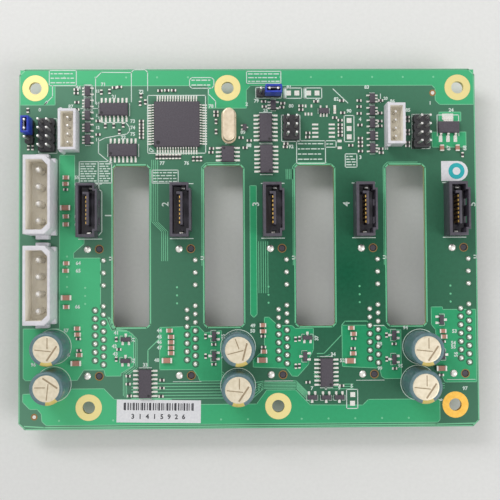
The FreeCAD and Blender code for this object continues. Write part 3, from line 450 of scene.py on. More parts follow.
# Fiducials: a small tinned dot in a ring of bare laminate, by which the machine
# that places the chips finds the board.
FIDUCIAL_PLACES = ((-65.5, -51.2), (57.2, 47.6))
bare_laminate = finish("bare_laminate", (150, 110, 60), (164, 122, 70), 0.5)
solder = finish("solder", (214, 211, 204), (232, 230, 224), 0.28, metal=0.75,
                grain=2500)
fiducial_rings = start("fiducial_rings")
for x, y in FIDUCIAL_PLACES:
    disc(x, y, BORDER_LEVEL + 0.002, 1.0, 24)
thicken(FOIL)
close(fiducial_rings, bare_laminate, "laminate")
fiducial_dots = start("fiducial_dots")
for x, y in FIDUCIAL_PLACES:
    disc(x, y, BOARD_TOP + 0.04, 0.55, 20)
thicken(FOIL)
close(fiducial_dots, solder, "tinned_metal")

# Vias: plated holes that join the copper of both faces, three beside each socket
# and rows of them in the wide pours.
via_places = [(bay - 4.27, y) for bay in BAY_X for y in (-12.08, -14.56, -16.99)]
via_places += [(-66 + 9.5 * step, 52.6) for step in range(14) if step not in (0, 6, 7)]
via_places += [(-58 + 8.2 * step, -52.4) for step in range(14) if step not in (1, 8)]
via_places += [(-55.6, -2.5 - 3.1 * step) for step in range(5)]
vias = start("vias")
for x, y in via_places:
    disc(x, y, BOARD_TOP + 0.036, 0.32, 12)
    raise_face(-0.012, 0.12)
    disc(x, y, BOARD_UNDERSIDE, 0.32, 12)
thicken(FOIL)
# The vias take the borders' pale finish too, with its painted highlight.
close(vias, glint_mask, "laminate")

# Solder lands: bare tinned copper under every chip lead, and on the places that
# the maker left without a part.
LAND_RISE = 0.045
LAND_LEVEL = BOARD_TOP + LAND_RISE
CONTROLLER = (-21.9, 37.92, 0)
LOGIC_CHIPS = ((-41.2, 42.55, 0), (-38.44, 30.0, 0), (5.38, 36.84, 90), (5.54, 27.15, 90),
               (-31.8, -41.3, 90), (23.5, -38.3, 90))
MEMORY = (-6.3, 28.74, 0)
REGULATOR = (61.8, 36.76, 0)
GATES = [(BAY_X[0] - 3.47, SLOT_TOP + 8.1 + 3.75 * step, 90) for step in range(5)]
GATES += [(BAY_X[3] + 0.15, SLOT_TOP + 5.2 + 3.87 * step, 270) for step in range(5)]
GATES += [(7.77, 43.86, 90), (23.37, 42.0, 180)]
TRANSISTORS = ((-37.72, -27.85, 0), (-37.82, -34.33, 0), (-10.8, -27.07, 90),
               (-10.83, -33.08, 90), (17.76, -27.67, 0), (16.98, -33.44, 90),
               (44.3, -27.13, 90), (44.27, -34.47, 90), (58.94, -22.54, 270),
               (59.2, -33.2, 270), (19.04, -45.85, 180), (23.34, -45.9, 180),
               (27.37, -45.9, 180))


def turned(x, y, angle):
    """A place turned about the origin by a number of degrees."""
    swing = math.radians(angle)
    return (x * math.cos(swing) - y * math.sin(swing), x * math.sin(swing) + y * math.cos(swing))


def lead_row(chips, side, count, pitch):
    """The starts of a row of leads on the side of each chip at that angle: X, Y and turn."""
    starts = []
    for x, y, angle in chips:
        for step in range(count):
            off_x, off_y = turned(0, pitch * (step - (count - 1) / 2), angle + side)
            starts.append((x + off_x, y + off_y, angle + side))
    return starts


CONTROLLER_LEADS = [lead for side in (0, 90, 180, 270)
                    for lead in lead_row([CONTROLLER], side, 16, 0.8)]
LOGIC_LEADS = lead_row(LOGIC_CHIPS, 90, 7, 1.27) + lead_row(LOGIC_CHIPS, 270, 7, 1.27)
MEMORY_LEADS = lead_row([MEMORY], 0, 4, 1.27) + lead_row([MEMORY], 180, 4, 1.27)
REGULATOR_LEGS = lead_row([REGULATOR], 270, 3, 2.3)
COOLING_TAB = lead_row([REGULATOR], 90, 1, 0)
GATE_LEADS = lead_row(GATES, 90, 3, 0.95) + lead_row(GATES, 270, 2, 1.9)
SINGLE_LEADS = lead_row(TRANSISTORS, 90, 1, 0)
PAIRED_LEADS = lead_row(TRANSISTORS, 270, 2, 1.9)
LEAD_LANDS = (
    # Leads, how far from the chip's middle their lands lie, and a land's length and width
    (CONTROLLER_LEADS, 8.5, 1.4, 0.45), (LOGIC_LEADS, 2.95, 1.5, 0.6),
    (MEMORY_LEADS, 2.95, 1.5, 0.6), (REGULATOR_LEGS, 3.5, 1.9, 1.1), (COOLING_TAB, 3.4, 1.9, 3.5),
    (GATE_LEADS, 1.35, 0.8, 0.5), (SINGLE_LEADS, 1.3, 0.9, 0.75), (PAIRED_LEADS, 1.3, 0.9, 0.7),
)
BARE_LANDS = (
    # Length and width of a land, and the places without a part
    (1.5, 1.5, ((12.54, 47.65), (15.11, 47.64), (18.76, 47.63), (21.36, 47.62), (31.2, 39.08),
                (31.2, 36.56), (31.2, 33.99), (31.5, -45.19), (31.4, -47.83))),
    (1.9, 0.55, [(x, y) for y in (37.84, 36.57, 35.29, 34.02) for x in (20.7, 25.83)]),
    (0.5, 0.9, ((17.8, 43.6), (19.6, 43.6), (17.7, 41.1), (18.65, 41.1), (19.6, 41.1))),
    (1.3, 0.8, ((28.2, 32.7), (28.2, 30.6))),
)


def land(lead, reach, length, width):
    """A rectangular land at a distance along a lead."""
    x, y, angle = lead
    corners = [turned(reach + side * length / 2, rise * width / 2, angle)
               for side, rise in ((-1, -1), (1, -1), (1, 1), (-1, 1))]
    area([(x + px, y + py) for px, py in corners], LAND_LEVEL)


lands = start("solder_lands")
for leads, reach, length, width in LEAD_LANDS:
    for lead in leads:
        land(lead, reach, length, width)
for length, width, places in BARE_LANDS:
    for x, y in places:
        land((x, y, 0), 0, length, width)
thicken(LAND_RISE)
close(lands, solder, "tinned_metal")

# Printed outlines: white ink screened over the mask round the chips and headers,
# with framed tables and leader lines.
SILK_LEVEL = BOARD_TOP + 0.05
INK_FILM = 0.03
LINE = 0.26
THIN_LINE = 0.16
ink = finish("white_ink", (206, 226, 214), (226, 238, 230), 0.6, grain=1600)
PRINTED_BOXES = (
    # Left, lower, right and upper edge
    (-61.1, 50.1, -52.8, 54.8), (-30.9, 29.1, -13.1, 47.0), (-18.0, 49.2, -10.5, 52.5, 0.7),
    (-0.4, 50.7, 10.2, 54.4), (2.4, 46.1, 10.4, 49.4), (14.9, 25.8, 23.8, 32.8),
    (23.7, 30.8, 27.1, 32.8), (29.9, 24.6, 33.5, 28.7), (50.7, 30.3, 56.2, 40.9),
    (-64.3, 29.2, -58.7, 39.9), (10.3, 32.6, 16.0, 40.8), (11.1, 46.0, 16.6, 49.2),
    (17.3, 46.0, 22.8, 49.2), (29.7, 32.5, 32.7, 40.6), (29.6, -49.4, 33.0, -43.6),
    (-51.9, 20.0, -42.0, 26.6), (-29.6, 19.9, -21.6, 23.9), (-50.4, 42.0, -48.0, 50.3),
)
PRINTED_LINES = (
    ((-60.1, 50.1), (-60.1, 46.7), (-62.5, 44.3)),
    ((-46.9, 44.4), (-46.9, 52.4), (-45.1, 54.2), (-35.9, 54.1)),
    ((-35.9, 45.0), (-35.9, 54.2), (-35.1, 55.0), (-31.7, 55.0), (-30.9, 54.2), (-30.9, 48.4)),
    ((-51.4, 43.0), (-45.8, 43.0), (-45.9, 40.0), (-45.4, 38.7), (-37.6, 38.6), (-36.5, 37.2),
     (-36.5, 35.9), (-37.3, 35.1), (-44.0, 33.9), (-46.0, 32.9), (-46.0, 29.2), (-42.0, 25.9)),
    ((-30.3, 30.9), (-28.9, 29.6), (-30.3, 29.6), (-30.3, 30.9)),
    ((-12.2, 49.3), (-12.2, 47.4), (-10.0, 45.2), (-10.0, 43.2)),
    ((58.5, 34.2), (58.5, 40.7), (65.2, 40.7), (65.2, 34.2)),
    ((26.3, 48.9), (30.9, 44.5)), ((41.0, 47.3), (41.0, 44.6)), ((-46.1, 26.6), (-46.1, 20.0)),
    ((-45.9, 19.9), (-45.9, 18.1), (-45.0, 17.4), (-45.0, 5.0), (-45.9, 4.0)),
    ((38.2, -24.2), (41.3, -24.2)),
)


def print_beside(chips, corners, width):
    """Print a line along both sides of each chip, through corners measured from it."""
    for x, y, angle in chips:
        for side in (-1, 1):
            line = [turned(side * reach, rise, angle) for reach, rise in corners]
            strip([(x + px, y + py) for px, py in line], width, SILK_LEVEL)


silk_lines = start("printed_outlines")
for box in PRINTED_BOXES:
    strip(frame_of(*box), LINE, SILK_LEVEL)
for points in PRINTED_LINES:
    strip(points, LINE, SILK_LEVEL)
print_beside(LOGIC_CHIPS, ((4.75, -1.9), (4.75, 1.9)), LINE)
print_beside(TRANSISTORS, ((1.75, -0.6), (1.75, 1.0), (0.8, 1.0)), THIN_LINE)
print_beside(GATES, ((1.75, -0.8), (1.75, 0.8)), THIN_LINE)
for bay in BAY_X:
    for y in (2.8, 19.7):
        strip(((bay - 6.3, y), (bay + 0.8, y)), LINE, SILK_LEVEL)
    strip(((bay + 3.1, -3.6), (bay + 3.9, -3.6), (bay + 3.9, -2.8), (bay + 3.1, -2.8)), 0.3,
          SILK_LEVEL)
for bay in BAY_X[1:]:
    strip(((bay - 5.6, SOCKET_Y - 21.2), (bay + 3.0, SOCKET_Y - 21.2)), THIN_LINE, SILK_LEVEL)
for x in (11.5, 17.7):
    strip(((x, 46.2), (x, 49.0)), 0.8, SILK_LEVEL)
strip(((50.7, 33.2), (50.7, 30.4), (53.4, 30.4)), 0.5, SILK_LEVEL)
strip(((-61.6, 44.9), (-62.5, 44.3), (-61.9, 45.3)), 0.35, SILK_LEVEL)
thicken(INK_FILM)
close(silk_lines, ink, "laminate")

# Printed tables: rows of short white dashes in the framed tables, which stand for
# their small print.
TABLES = (
    # Left, right and upper edge of the print, the drop of a line, and the lines
    (-60.6, -53.3, 53.8, 1.4, 3), (-17.3, -11.2, 51.7, 1.5, 2), (0.2, 9.7, 53.6, 1.15, 3),
    (15.4, 23.3, 31.9, 1.6, 4), (24.2, 26.6, 31.8, 1.0, 1), (-51.4, -46.7, 25.9, 0.75, 8),
    (-45.6, -42.5, 25.9, 0.75, 8), (-29.2, -22.0, 23.1, 0.9, 4), (30.3, 33.1, 27.9, 0.85, 4),
    (-50.1, -48.3, 49.5, 0.95, 8),
)
dashes = start("printed_tables")
for table, (left, right, high, drop, rows) in enumerate(TABLES):
    for row in range(rows):
        x = left
        step = row + table
        while x < right - 0.5:
            reach = min(0.5 + 0.35 * (step % 4), right - x)
            strip(((x, high - drop * row), (x + reach, high - drop * row)), 0.34, SILK_LEVEL)
            x += reach + 0.5
            step += 1
thicken(INK_FILM)
close(dashes, ink, "laminate")

# Printed numbers: plain numbers beside the headers and small parts, in the same
# white ink as the outlines.
BAY_NUMBERS = ((-42.9, 10.0), (-25.5, 13.4), (2.3, 13.3), (30.2, 13.2), (69.2, 13.0))
NUMBER_RUNS = (
    # First number of a run, its turn, and the places of the run
    (0, 0, ((-64.0, 42.6), (56.4, 44.4))),
    (21, 0, ((-41.2, 46.6), (-38.4, 34.0), (-6.3, 32.4), (62.9, 42.2), (5.4, 42.2))),
    (31, 90, ((-35.5, -28.0), (-35.5, -34.4))),
    (33, 0, ((-31.8, -35.7), (25.6, -32.9))),
    (35, 90, ((-8.0, -27.2), (-8.0, -33.2), (20.6, -27.9))),
    (41, 0, ((-40.6, -25.9), (-41.2, -30.0), (-40.9, -32.3), (-27.5, -25.3), (-27.5, -27.2),
             (-27.5, -28.8), (-27.5, -30.5), (-28.3, -34.3), (1.1, -24.0), (1.0, -25.6),
             (0.9, -31.9), (28.4, -34.8), (63.0, -26.1), (62.6, -29.7), (62.6, -30.9))),
    (56, 90, ((63.4, -33.2),)),
    (57, 0, ((-55.9, -25.1), (-55.4, -32.5), (-52.6, 21.7), (-52.6, 19.7), (-52.2, 12.4),
             (-52.6, 9.8), (-52.6, 7.3), (-52.2, -4.6), (-52.2, -6.9), (-52.4, -17.9))),
    (67, 90, ((62.0, 30.4), (67.0, 30.4))),
    (71, 0, ((-44.5, 50.4), (-32.9, 48.1), (-35.5, 39.0), (-35.5, 37.0), (-35.5, 35.0),
             (-19.0, 26.0), (-26.5, 26.0), (-11.4, 43.6), (2.6, 45.2), (13.3, 43.6),
             (21.5, 45.2), (27.3, 45.7), (36.8, 49.4), (-52.2, 49.4), (49.5, 42.2), (44.7, 45.0),
             (-54.5, 43.6), (0.2, 31.4), (-1.6, 35.5), (31.2, 42.0), (12.7, 49.4), (13.2, 31.0),
             (-4.6, -47.3), (47.9, -24.9), (46.2, -36.6), (-65.8, -35.4), (66.0, -43.6),
             (39.9, -29.8), (39.9, -37.3))),
    (2, 0, ((-0.4, 44.2), (34.6, 27.6), (34.6, 39.4), (31.2, -42.6))),
    (6, 90, ((58.5, -47.0),)),
    (7, 0, ((19.0, -43.2), (23.3, -43.2), (27.4, -43.2))),
)


def number(value, x, y, height, angle=0):
    """A printed number, centred on a place in millimetres."""
    bpy.ops.object.select_all(action="DESELECT")
    bpy.ops.object.text_add(location=(x * MM, y * MM, SILK_LEVEL * MM),
                            rotation=(0, 0, math.radians(angle)))
    mark = bpy.context.object
    mark.data.body = str(value)
    mark.data.size = height / 0.7 * MM
    mark.data.offset = 0.06 * MM
    mark.data.resolution_u = 2
    mark.data.align_x = "CENTER"
    mark.data.align_y = "CENTER"
    bpy.ops.object.convert(target="MESH")
    return bpy.context.object


def join(pieces, name):
    """Join pieces as one, with its origin at the board's."""
    bpy.ops.object.select_all(action="DESELECT")
    for piece in pieces:
        piece.select_set(True)
    bpy.context.view_layer.objects.active = pieces[0]
    bpy.ops.object.join()
    bpy.ops.object.transform_apply(location=True, rotation=True, scale=True)
    piece = bpy.context.object
    piece.name = name
    piece.data.name = name
    return piece


marks = [number(bay, x, y, 2.0, 90) for bay, (x, y) in enumerate(BAY_NUMBERS, start=1)]
for first, angle, places in NUMBER_RUNS:
    for value, (x, y) in enumerate(places, start=first):
        marks.append(number(value, x, y, 1.05, angle))
for step in range(5):
    marks.append(number(11 + step, -46.3, SLOT_TOP + 8.1 + 3.75 * step, 0.9))
    marks.append(number(16 + step, 42.6, SLOT_TOP + 5.2 + 3.87 * step, 0.9))
close(join(marks, "printed_numbers"), ink, "laminate")

# Drive sockets: a dark moulding under each bay, held by a peg at each end. The
# moulded edges are slightly round.
ROUND = 0.1


def softened(name, width, material, slot):
    """A packed moulding with its sharp edges rounded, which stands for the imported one."""
    bpy.ops.object.select_all(action="DESELECT")
    nodes[name].select_set(True)
    bpy.context.view_layer.objects.active = nodes[name]
    bpy.ops.object.duplicate()
    piece = bpy.context.object
    piece.name = f"{name}_piece"
    piece.data.name = f"{name}_piece"
    del piece["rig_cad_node"]
    bpy.ops.object.mode_set(mode="EDIT")
    bpy.ops.mesh.select_all(action="SELECT")
    bpy.ops.mesh.remove_doubles(threshold=0.005 * MM)
    bpy.ops.mesh.dissolve_limited(angle_limit=math.radians(2))
    bpy.ops.object.mode_set(mode="OBJECT")
    rounding = piece.modifiers.new("round_edges", "BEVEL")
    rounding.limit_method = "ANGLE"
    rounding.angle_limit = math.radians(30)
    rounding.width = width * MM
    rounding.segments = 2
    bpy.ops.object.modifier_apply(modifier="round_edges")
    bpy.ops.object.shade_smooth_by_angle(angle=math.radians(30))
    close(piece, material, slot, name)
    return piece


dark_moulding = finish("dark_moulding", (60, 55, 64), (74, 68, 78), 0.45)
for number_of_bay in range(1, 6):
    softened(f"drive_socket_{number_of_bay}", ROUND, dark_moulding, "socket_moulding")

# Socket contacts: gilded blades in the socket, whose tails pass through the board
# and end on the top face in round solder joints on plated lands.
gilded = finish("gilded_blade", (212, 170, 90), (226, 188, 110), 0.28, metal=1.0)
dress(gilded, *(f"drive_contacts_{number_of_bay}" for number_of_bay in range(1, 6)))


def copies(model, places, name):
    """Copy a modelled piece to places of X, Y and turn, and join the copies as one piece."""
    shut()
    made = []
    for x, y, angle in places:
        bpy.ops.object.select_all(action="DESELECT")
        model.select_set(True)
        bpy.context.view_layer.objects.active = model
        bpy.ops.object.duplicate()
        copy = bpy.context.object
        copy.location = (x * MM, y * MM, 0)
        copy.rotation_euler = (0, 0, math.radians(angle))
        made.append(copy)
    bpy.data.objects.remove(model)
    return join(made, name)


def dome(level, radius, height, sides=12):
    """A round-topped joint on a disc at the origin, made by insets that rise."""
    disc(0, 0, level, radius, sides)
    raise_face(0.1 * height)
    for share, lift in ((0.12, 0.35), (0.22, 0.3), (0.3, 0.25)):
        raise_face(lift * height, share * radius)
    face_out()
    bpy.ops.mesh.faces_shade_smooth()


JOINT_LEVEL = BOARD_TOP + 0.03
model = start("tail_joint")
dome(JOINT_LEVEL, 0.82, 0.75)
tail_places = [(x, y, 0) for x, y in TAIL_PLACES]
close(copies(model, tail_places, "socket_solder_joints"), solder, "tinned_metal")

# Board locks and pegs of the sockets: a flat solder joint at each end, and the
# dimpled end of each moulded peg in its hole.
PEG_LEVEL = 9.76
model = start("lock_joint")
dome(JOINT_LEVEL, 1.15, 0.5, 20)
lock_places = [(bay - 3.6, SOCKET_Y + side * 19.3, 0) for bay in BAY_X for side in (-1, 1)]
close(copies(model, lock_places, "board_lock_joints"), solder, "tinned_metal")
model = start("peg_end")
disc(0, 0, PEG_LEVEL, 1.0, 24)
raise_face(-0.3, 0.4)
peg_places = [(bay, SOCKET_Y + side * PEG_REACH, 0) for bay in BAY_X for side in (-1, 1)]
# The peg ends are near black, far darker than the socket moulding they belong to: painted shade
# of the hole.
moulding_painted_shade = finish("moulding_painted_shade", (22, 20, 24), (34, 31, 36), 0.6)
close(copies(model, peg_places, "peg_ends"), moulding_painted_shade, "socket_moulding")
model = start("peg_hole_ring")
ring(0, 0, BOARD_TOP + RING_RISE, 1.35, 0.25, 24)
thicken(RING_RISE)
close(copies(model, peg_places, "peg_hole_rings"), bare_laminate, "laminate")

# Cable headers: a dark moulding beside each bay, open at the top round a keyed
# tongue with seven gilded contacts on its left face.
header_moulding = finish("header_moulding", (66, 62, 72), (82, 77, 88), 0.38)
for number_of_bay in range(1, 6):
    softened(f"cable_header_{number_of_bay}", ROUND, header_moulding, "header_moulding")
    dress(gilded, f"cable_contacts_{number_of_bay}")

# Hold-downs of the cable headers: a spring strip at each end, curled over at the
# top and soldered through the board.
tinned = finish("tinned", (208, 206, 204), (226, 224, 220), 0.3, metal=0.85)
HEADER_X = -2.5
HEADER_Y = 11.25
STRIP_TOP = 1.8
hold_down = start("hold_down")
middle = (0, 0, (BOARD_TOP + STRIP_TOP / 2) * MM)
bpy.ops.mesh.primitive_plane_add(size=MM, location=middle, rotation=(math.pi / 2, 0, 0))
bpy.ops.transform.resize(value=(1.1, 1, STRIP_TOP), center_override=middle)
bpy.ops.mesh.select_all(action="DESELECT")
sheet = bmesh.from_edit_mesh(hold_down.data)
top_edge = max(sheet.edges, key=lambda line: sum(vertex.co.z for vertex in line.verts))
top_edge.select = True
for vertex in top_edge.verts:
    vertex.select = True
bmesh.update_edit_mesh(hold_down.data)
bpy.ops.mesh.spin(steps=8, angle=math.radians(230),
                  center=(0, 0.45 * MM, (BOARD_TOP + STRIP_TOP) * MM), axis=(1, 0, 0))
shut()
wall = hold_down.modifiers.new("sheet", "SOLIDIFY")
wall.thickness = 0.2 * MM
bpy.ops.object.modifier_apply(modifier="sheet")
bpy.ops.object.mode_set(mode="EDIT")
face_out()
curl_places = [(bay + HEADER_X + side * 0.3, HEADER_Y + side * 6.4, 90 - 90 * side)
               for bay in BAY_X for side in (-1, 1)]
close(copies(hold_down, curl_places, "curled_hold_downs"), tinned, "tinned_metal",
      "cable_header_hold_downs")

# Power headers: white nylon with two cut corners, open at the top round four
# round pins. Inside, a warm beige finish paints shade with a little yellowing.
nylon = finish("nylon", (222, 220, 226), (236, 234, 238), 0.42)
nylon_inside_shade_and_yellowing = finish("nylon_inside_shade_and_yellowing", (242, 236, 222), (248, 243, 232), 0.5)
POWER_X = -62.5
POWER_Y = {"upper": 15.57, "lower": -11.23}


def tint_inside(piece, x, y, half_width, half_length, top):
    """Give the faces inside a header's walls, below its rim, the beige finish of painted shade
    and yellowing.
    """
    piece.data.materials.append(nylon_inside_shade_and_yellowing)
    for face in piece.data.polygons:
        centre = face.center / MM
        if abs(centre.x - x) < half_width and abs(centre.y - y) < half_length and centre.z < top:
            face.material_index = 1


for place, y in POWER_Y.items():
    power = softened(f"power_header_{place}", 0.2, nylon, "nylon")
    tint_inside(power, POWER_X, y, 3.3, 10.6, BOARD_TOP + 11.4)
    softened(f"power_pins_{place}", 0.12, tinned, "tinned_metal")

# Four-way headers: a thin white box, open at the top, with a small ear at each
# end of its left side, round four square pins.
BUS_PLACES = {"left": (-54.5, 35.6, 0), "right": (44.7, 37.1, 0)}
EAR_HEIGHT = 5.4
for place, (x, y, angle) in BUS_PLACES.items():
    bus = softened(f"bus_header_{place}", 0.12, nylon, "nylon")
    # Their inside faces take the same beige finish: painted shade with a little yellowing.
    tint_inside(bus, x, y, 2.0, 5.5, BOARD_TOP + 6.8)
    softened(f"bus_pins_{place}", 0.08, tinned, "tinned_metal")
model = start("header_ear")
for end in (1, -1):
    disc(-2.1, end * 6.2, BOARD_TOP + EAR_HEIGHT, 0.6, 12)
thicken(EAR_HEIGHT)
close(copies(model, BUS_PLACES.values(), "header_ears"), nylon, "nylon")

# Square-pin headers: a black notched strip on long tinned pins, in double rows
# and in two single rows.
insulator_black = finish("insulator_black", (34, 33, 36), (46, 44, 48), 0.5)
for name in ("sideband_header_left", "sideband_header_right", "status_header",
             "jumper_header_top", "jumper_header_side"):
    softened(name, 0.08, insulator_black, "header_moulding")
for name in ("sideband_pins_left", "sideband_pins_right", "status_pins", "jumper_pins_top",
             "jumper_pins_side"):
    softened(name, 0.1, tinned, "tinned_metal")

# Jumper caps: a blue moulded sleeve pushed over two pins, with a spring clip inside
# that joins them.
jumper_blue = finish("jumper_blue", (28, 52, 168), (44, 72, 196), 0.35)
for place in ("top", "side"):
    softened(f"jumper_cap_{place}", 0.2, jumper_blue, "jumper_moulding")
    dress(tinned, f"jumper_clip_{place}")

# Chips: moulded bodies with a matt surface, a bevelled top and a round dimple
# beside the first lead.
chip_black = finish("chip_black", (70, 64, 72), (84, 78, 86), 0.6, grain=2600,
                    relief=0.04)
for name in ("controller_chip", "logic_chips", "memory_chip", "regulator", "gate_chips",
             "transistors"):
    softened(name, 0.06, chip_black, "chip_moulding")
dimple_places = [(-27.6, 32.2, 0.6, 1.5)]
for x, y, angle in LOGIC_CHIPS:
    off_x, off_y = turned(-3.6, -1.1, angle)
    dimple_places.append((x + off_x, y + off_y, 0.4, 1.6))
dimple_places.append((-7.4, 30.4, 0.35, 1.6))
DIMPLE_FILM = 0.012
# The dimples take the same near-black finish as the peg ends: painted shade in the recess.
dimples = start("first_lead_dimples")
for x, y, radius, height in dimple_places:
    disc(x, y, BOARD_TOP + height + DIMPLE_FILM, radius, 20)
    raise_face(-0.008, 0.1)
thicken(DIMPLE_FILM)
close(dimples, moulding_painted_shade, "chip_moulding")

# Chip leads: tinned strips that leave the body halfway up, bend down and end in a
# flat foot on the land.
LEAD_THICKNESS = 0.18
LEAD_ROOT = 0.05


def gull_wing(body, reach, half_height, width, foot=0.6):
    """One bent lead on the +X side of the origin, drawn out of a face at the body."""
    middle = ((body - LEAD_ROOT) * MM, 0, (BOARD_TOP + half_height) * MM)
    bpy.ops.mesh.primitive_plane_add(size=MM, location=middle, rotation=(0, math.pi / 2, 0))
    bpy.ops.transform.resize(value=(1, width, LEAD_THICKNESS), center_override=middle)
    shoulder = reach - foot - body
    drop = half_height - LEAD_THICKNESS / 2 - LEAD_ROOT
    for out, up in ((LEAD_ROOT + shoulder * 0.35, -0.01), (shoulder * 0.2, -drop * 0.12),
                    (shoulder * 0.3, -drop * 0.76), (shoulder * 0.15, -drop * 0.12),
                    (foot, 0)):
        bpy.ops.mesh.extrude_region_move(
            TRANSFORM_OT_translate={"value": (out * MM, 0, up * MM)})
    face_out()


model = start("controller_lead")
gull_wing(7.0, 8.6, 0.75, 0.34)
close(copies(model, CONTROLLER_LEADS, "controller_lead_rows"), solder, "tinned_metal",
      "controller_leads")
for chip, leads in (("logic", LOGIC_LEADS), ("memory", MEMORY_LEADS)):
    model = start(f"{chip}_lead")
    gull_wing(1.95, 3.0, 0.8, 0.42)
    close(copies(model, leads, f"{chip}_lead_rows"), solder, "tinned_metal", f"{chip}_leads")

# Regulator leads: three tinned legs on one side and a wide cooling tab on the
# other, soldered flat on the board.
model = start("regulator_leg")
gull_wing(1.75, 3.5, 0.85, 0.72, 0.9)
close(copies(model, REGULATOR_LEGS, "regulator_legs"), solder, "tinned_metal", "regulator_leads")
model = start("cooling_tab")
gull_wing(1.75, 3.5, 0.85, 3.0, 0.9)
close(copies(model, COOLING_TAB, "regulator_cooling_tab"), solder, "tinned_metal")

# Leads of the gates and transistors: short tinned feet, three on one side and two
# on the other, or one and two.
model = start("gate_lead")
gull_wing(0.78, 1.45, 0.5, 0.36, 0.35)
close(copies(model, GATE_LEADS, "gate_leads"), solder, "tinned_metal")
model = start("transistor_lead")
gull_wing(0.63, 1.35, 0.45, 0.42, 0.35)
close(copies(model, SINGLE_LEADS + PAIRED_LEADS, "transistor_leads"), solder, "tinned_metal")

# Crystal: a drawn can with round ends and a rolled top edge, welded on a flange
# and held by two wires through the board.
CRYSTAL = (-5.94, 37.5)


def round_ended(length, width):
    """The outline of a shape with half-round ends, long in Y, about the crystal's centre."""
    radius = width / 2
    corners = []
    for end in (1, -1):
        for step in range(13):
            out_x, out_y = turned(end * radius, 0, 15 * step)
            corners.append((CRYSTAL[0] + out_x, CRYSTAL[1] + end * (length / 2 - radius) + out_y))
    return corners


crystal = start("crystal_can")
area(round_ended(11.1, 4.6), BOARD_TOP)
raise_face(0.35)
raise_face(0.1, 0.08)
raise_face(0.0, 0.34)
raise_face(2.75)
for inset, height in ((0.06, 0.2), (0.12, 0.12), (0.25, 0.07), (0.2, -0.04)):
    raise_face(height, inset)
face_out()
shut()
bpy.ops.object.shade_smooth_by_angle(angle=math.radians(40))
can_metal = finish("can_metal", (214, 196, 168), (232, 216, 192), 0.3, metal=0.7)
close(crystal, can_metal, "drawn_can", "crystal")

# Round capacitors: an aluminium can in a shrunk sleeve, which rolls over the edge
# and carries a pale stripe for the negative side.
CAPACITORS = ((-59.65, -29.93), (-59.65, -41.33), (-3.5, -30.5), (-3.54, -42.2),
              (52.3, -30.7), (51.6, -41.7))
SLEEVE_TURNS = (0, 20, 12, 0, 0, 8)
STRIPE_HALF_ANGLE = 26
model = start("sleeve")
disc(0, 0, BOARD_TOP + 0.02, 4.7, 48)
raise_face(0.25)
bpy.ops.transform.resize(value=(5.0 / 4.7, 5.0 / 4.7, 1))
raise_face(10.6)
for inset, height in ((0.12, 0.35), (0.25, 0.22), (0.45, 0.06), (0.2, -0.12), (0.12, -0.12)):
    raise_face(height, inset)
bpy.ops.mesh.delete(type="FACE")
face_out()
shut()
bpy.ops.object.shade_smooth_by_angle(angle=math.radians(50))
sleeve = finish("sleeve", (88, 118, 124), (104, 134, 140), 0.3)
stripe = finish("sleeve_stripe", (206, 184, 96), (220, 200, 120), 0.35)
model.data.materials.append(sleeve)
model.data.materials.append(stripe)
for face in model.data.polygons:
    swing = math.degrees(math.atan2(face.center.y, face.center.x))
    if abs(swing + 90) < STRIPE_HALF_ANGLE and face.center.z > (BOARD_TOP + 0.3) * MM:
        face.material_index = 1
sleeve_places = [(x, y, turn) for (x, y), turn in zip(CAPACITORS, SLEEVE_TURNS)]
sleeves = copies(model, sleeve_places, "capacitor_sleeves")
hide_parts("capacitors")
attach(sleeves, "root")

# Tops of the capacitors: bare aluminium inside the sleeve's rim, pressed with
# three grooves that let a failing can open.
GROOVE_TURNS = (0, 90, 20, 0, 0, 0)
GROOVE_LEVEL = BOARD_TOP + 11.36
top_metal = finish("top_metal", (214, 202, 176), (230, 219, 196), 0.36, metal=0.65)
model = start("can_top")
disc(0, 0, BOARD_TOP + 11.24, 4.0, 48)
raise_face(0.05)
raise_face(0.05, 0.4)
face_out()
top_places = [(x, y, turn) for (x, y), turn in zip(CAPACITORS, GROOVE_TURNS)]
close(copies(model, top_places, "capacitor_tops"), top_metal, "drawn_can")
# The grooves are darker strips than the top metal: painted shade in the pressed creases.
groove_painted_shade = finish("groove_painted_shade", (150, 132, 106), (168, 150, 122), 0.3, metal=0.5)
model = start("pressed_groove")
strip(((0.3, 3.3), (0.3, 0.3)), 0.3, GROOVE_LEVEL)
strip(((-3.3, -0.1), (1.3, -0.6)), 0.3, GROOVE_LEVEL)
strip(((3.0, 0.9), (0.2, -3.2)), 0.5, GROOVE_LEVEL)
thicken(0.04)
close(copies(model, top_places, "pressed_grooves"), groove_painted_shade, "drawn_can")

# Printed rings round the capacitors: a thin circle of white ink on the mask marks
# each can's place, half hidden by its sleeve.
cap_rings = start("capacitor_outlines")
for x, y in CAPACITORS:
    ring(x, y, SILK_LEVEL, 5.45, 0.22, 48)
thicken(INK_FILM)
close(cap_rings, ink, "laminate")

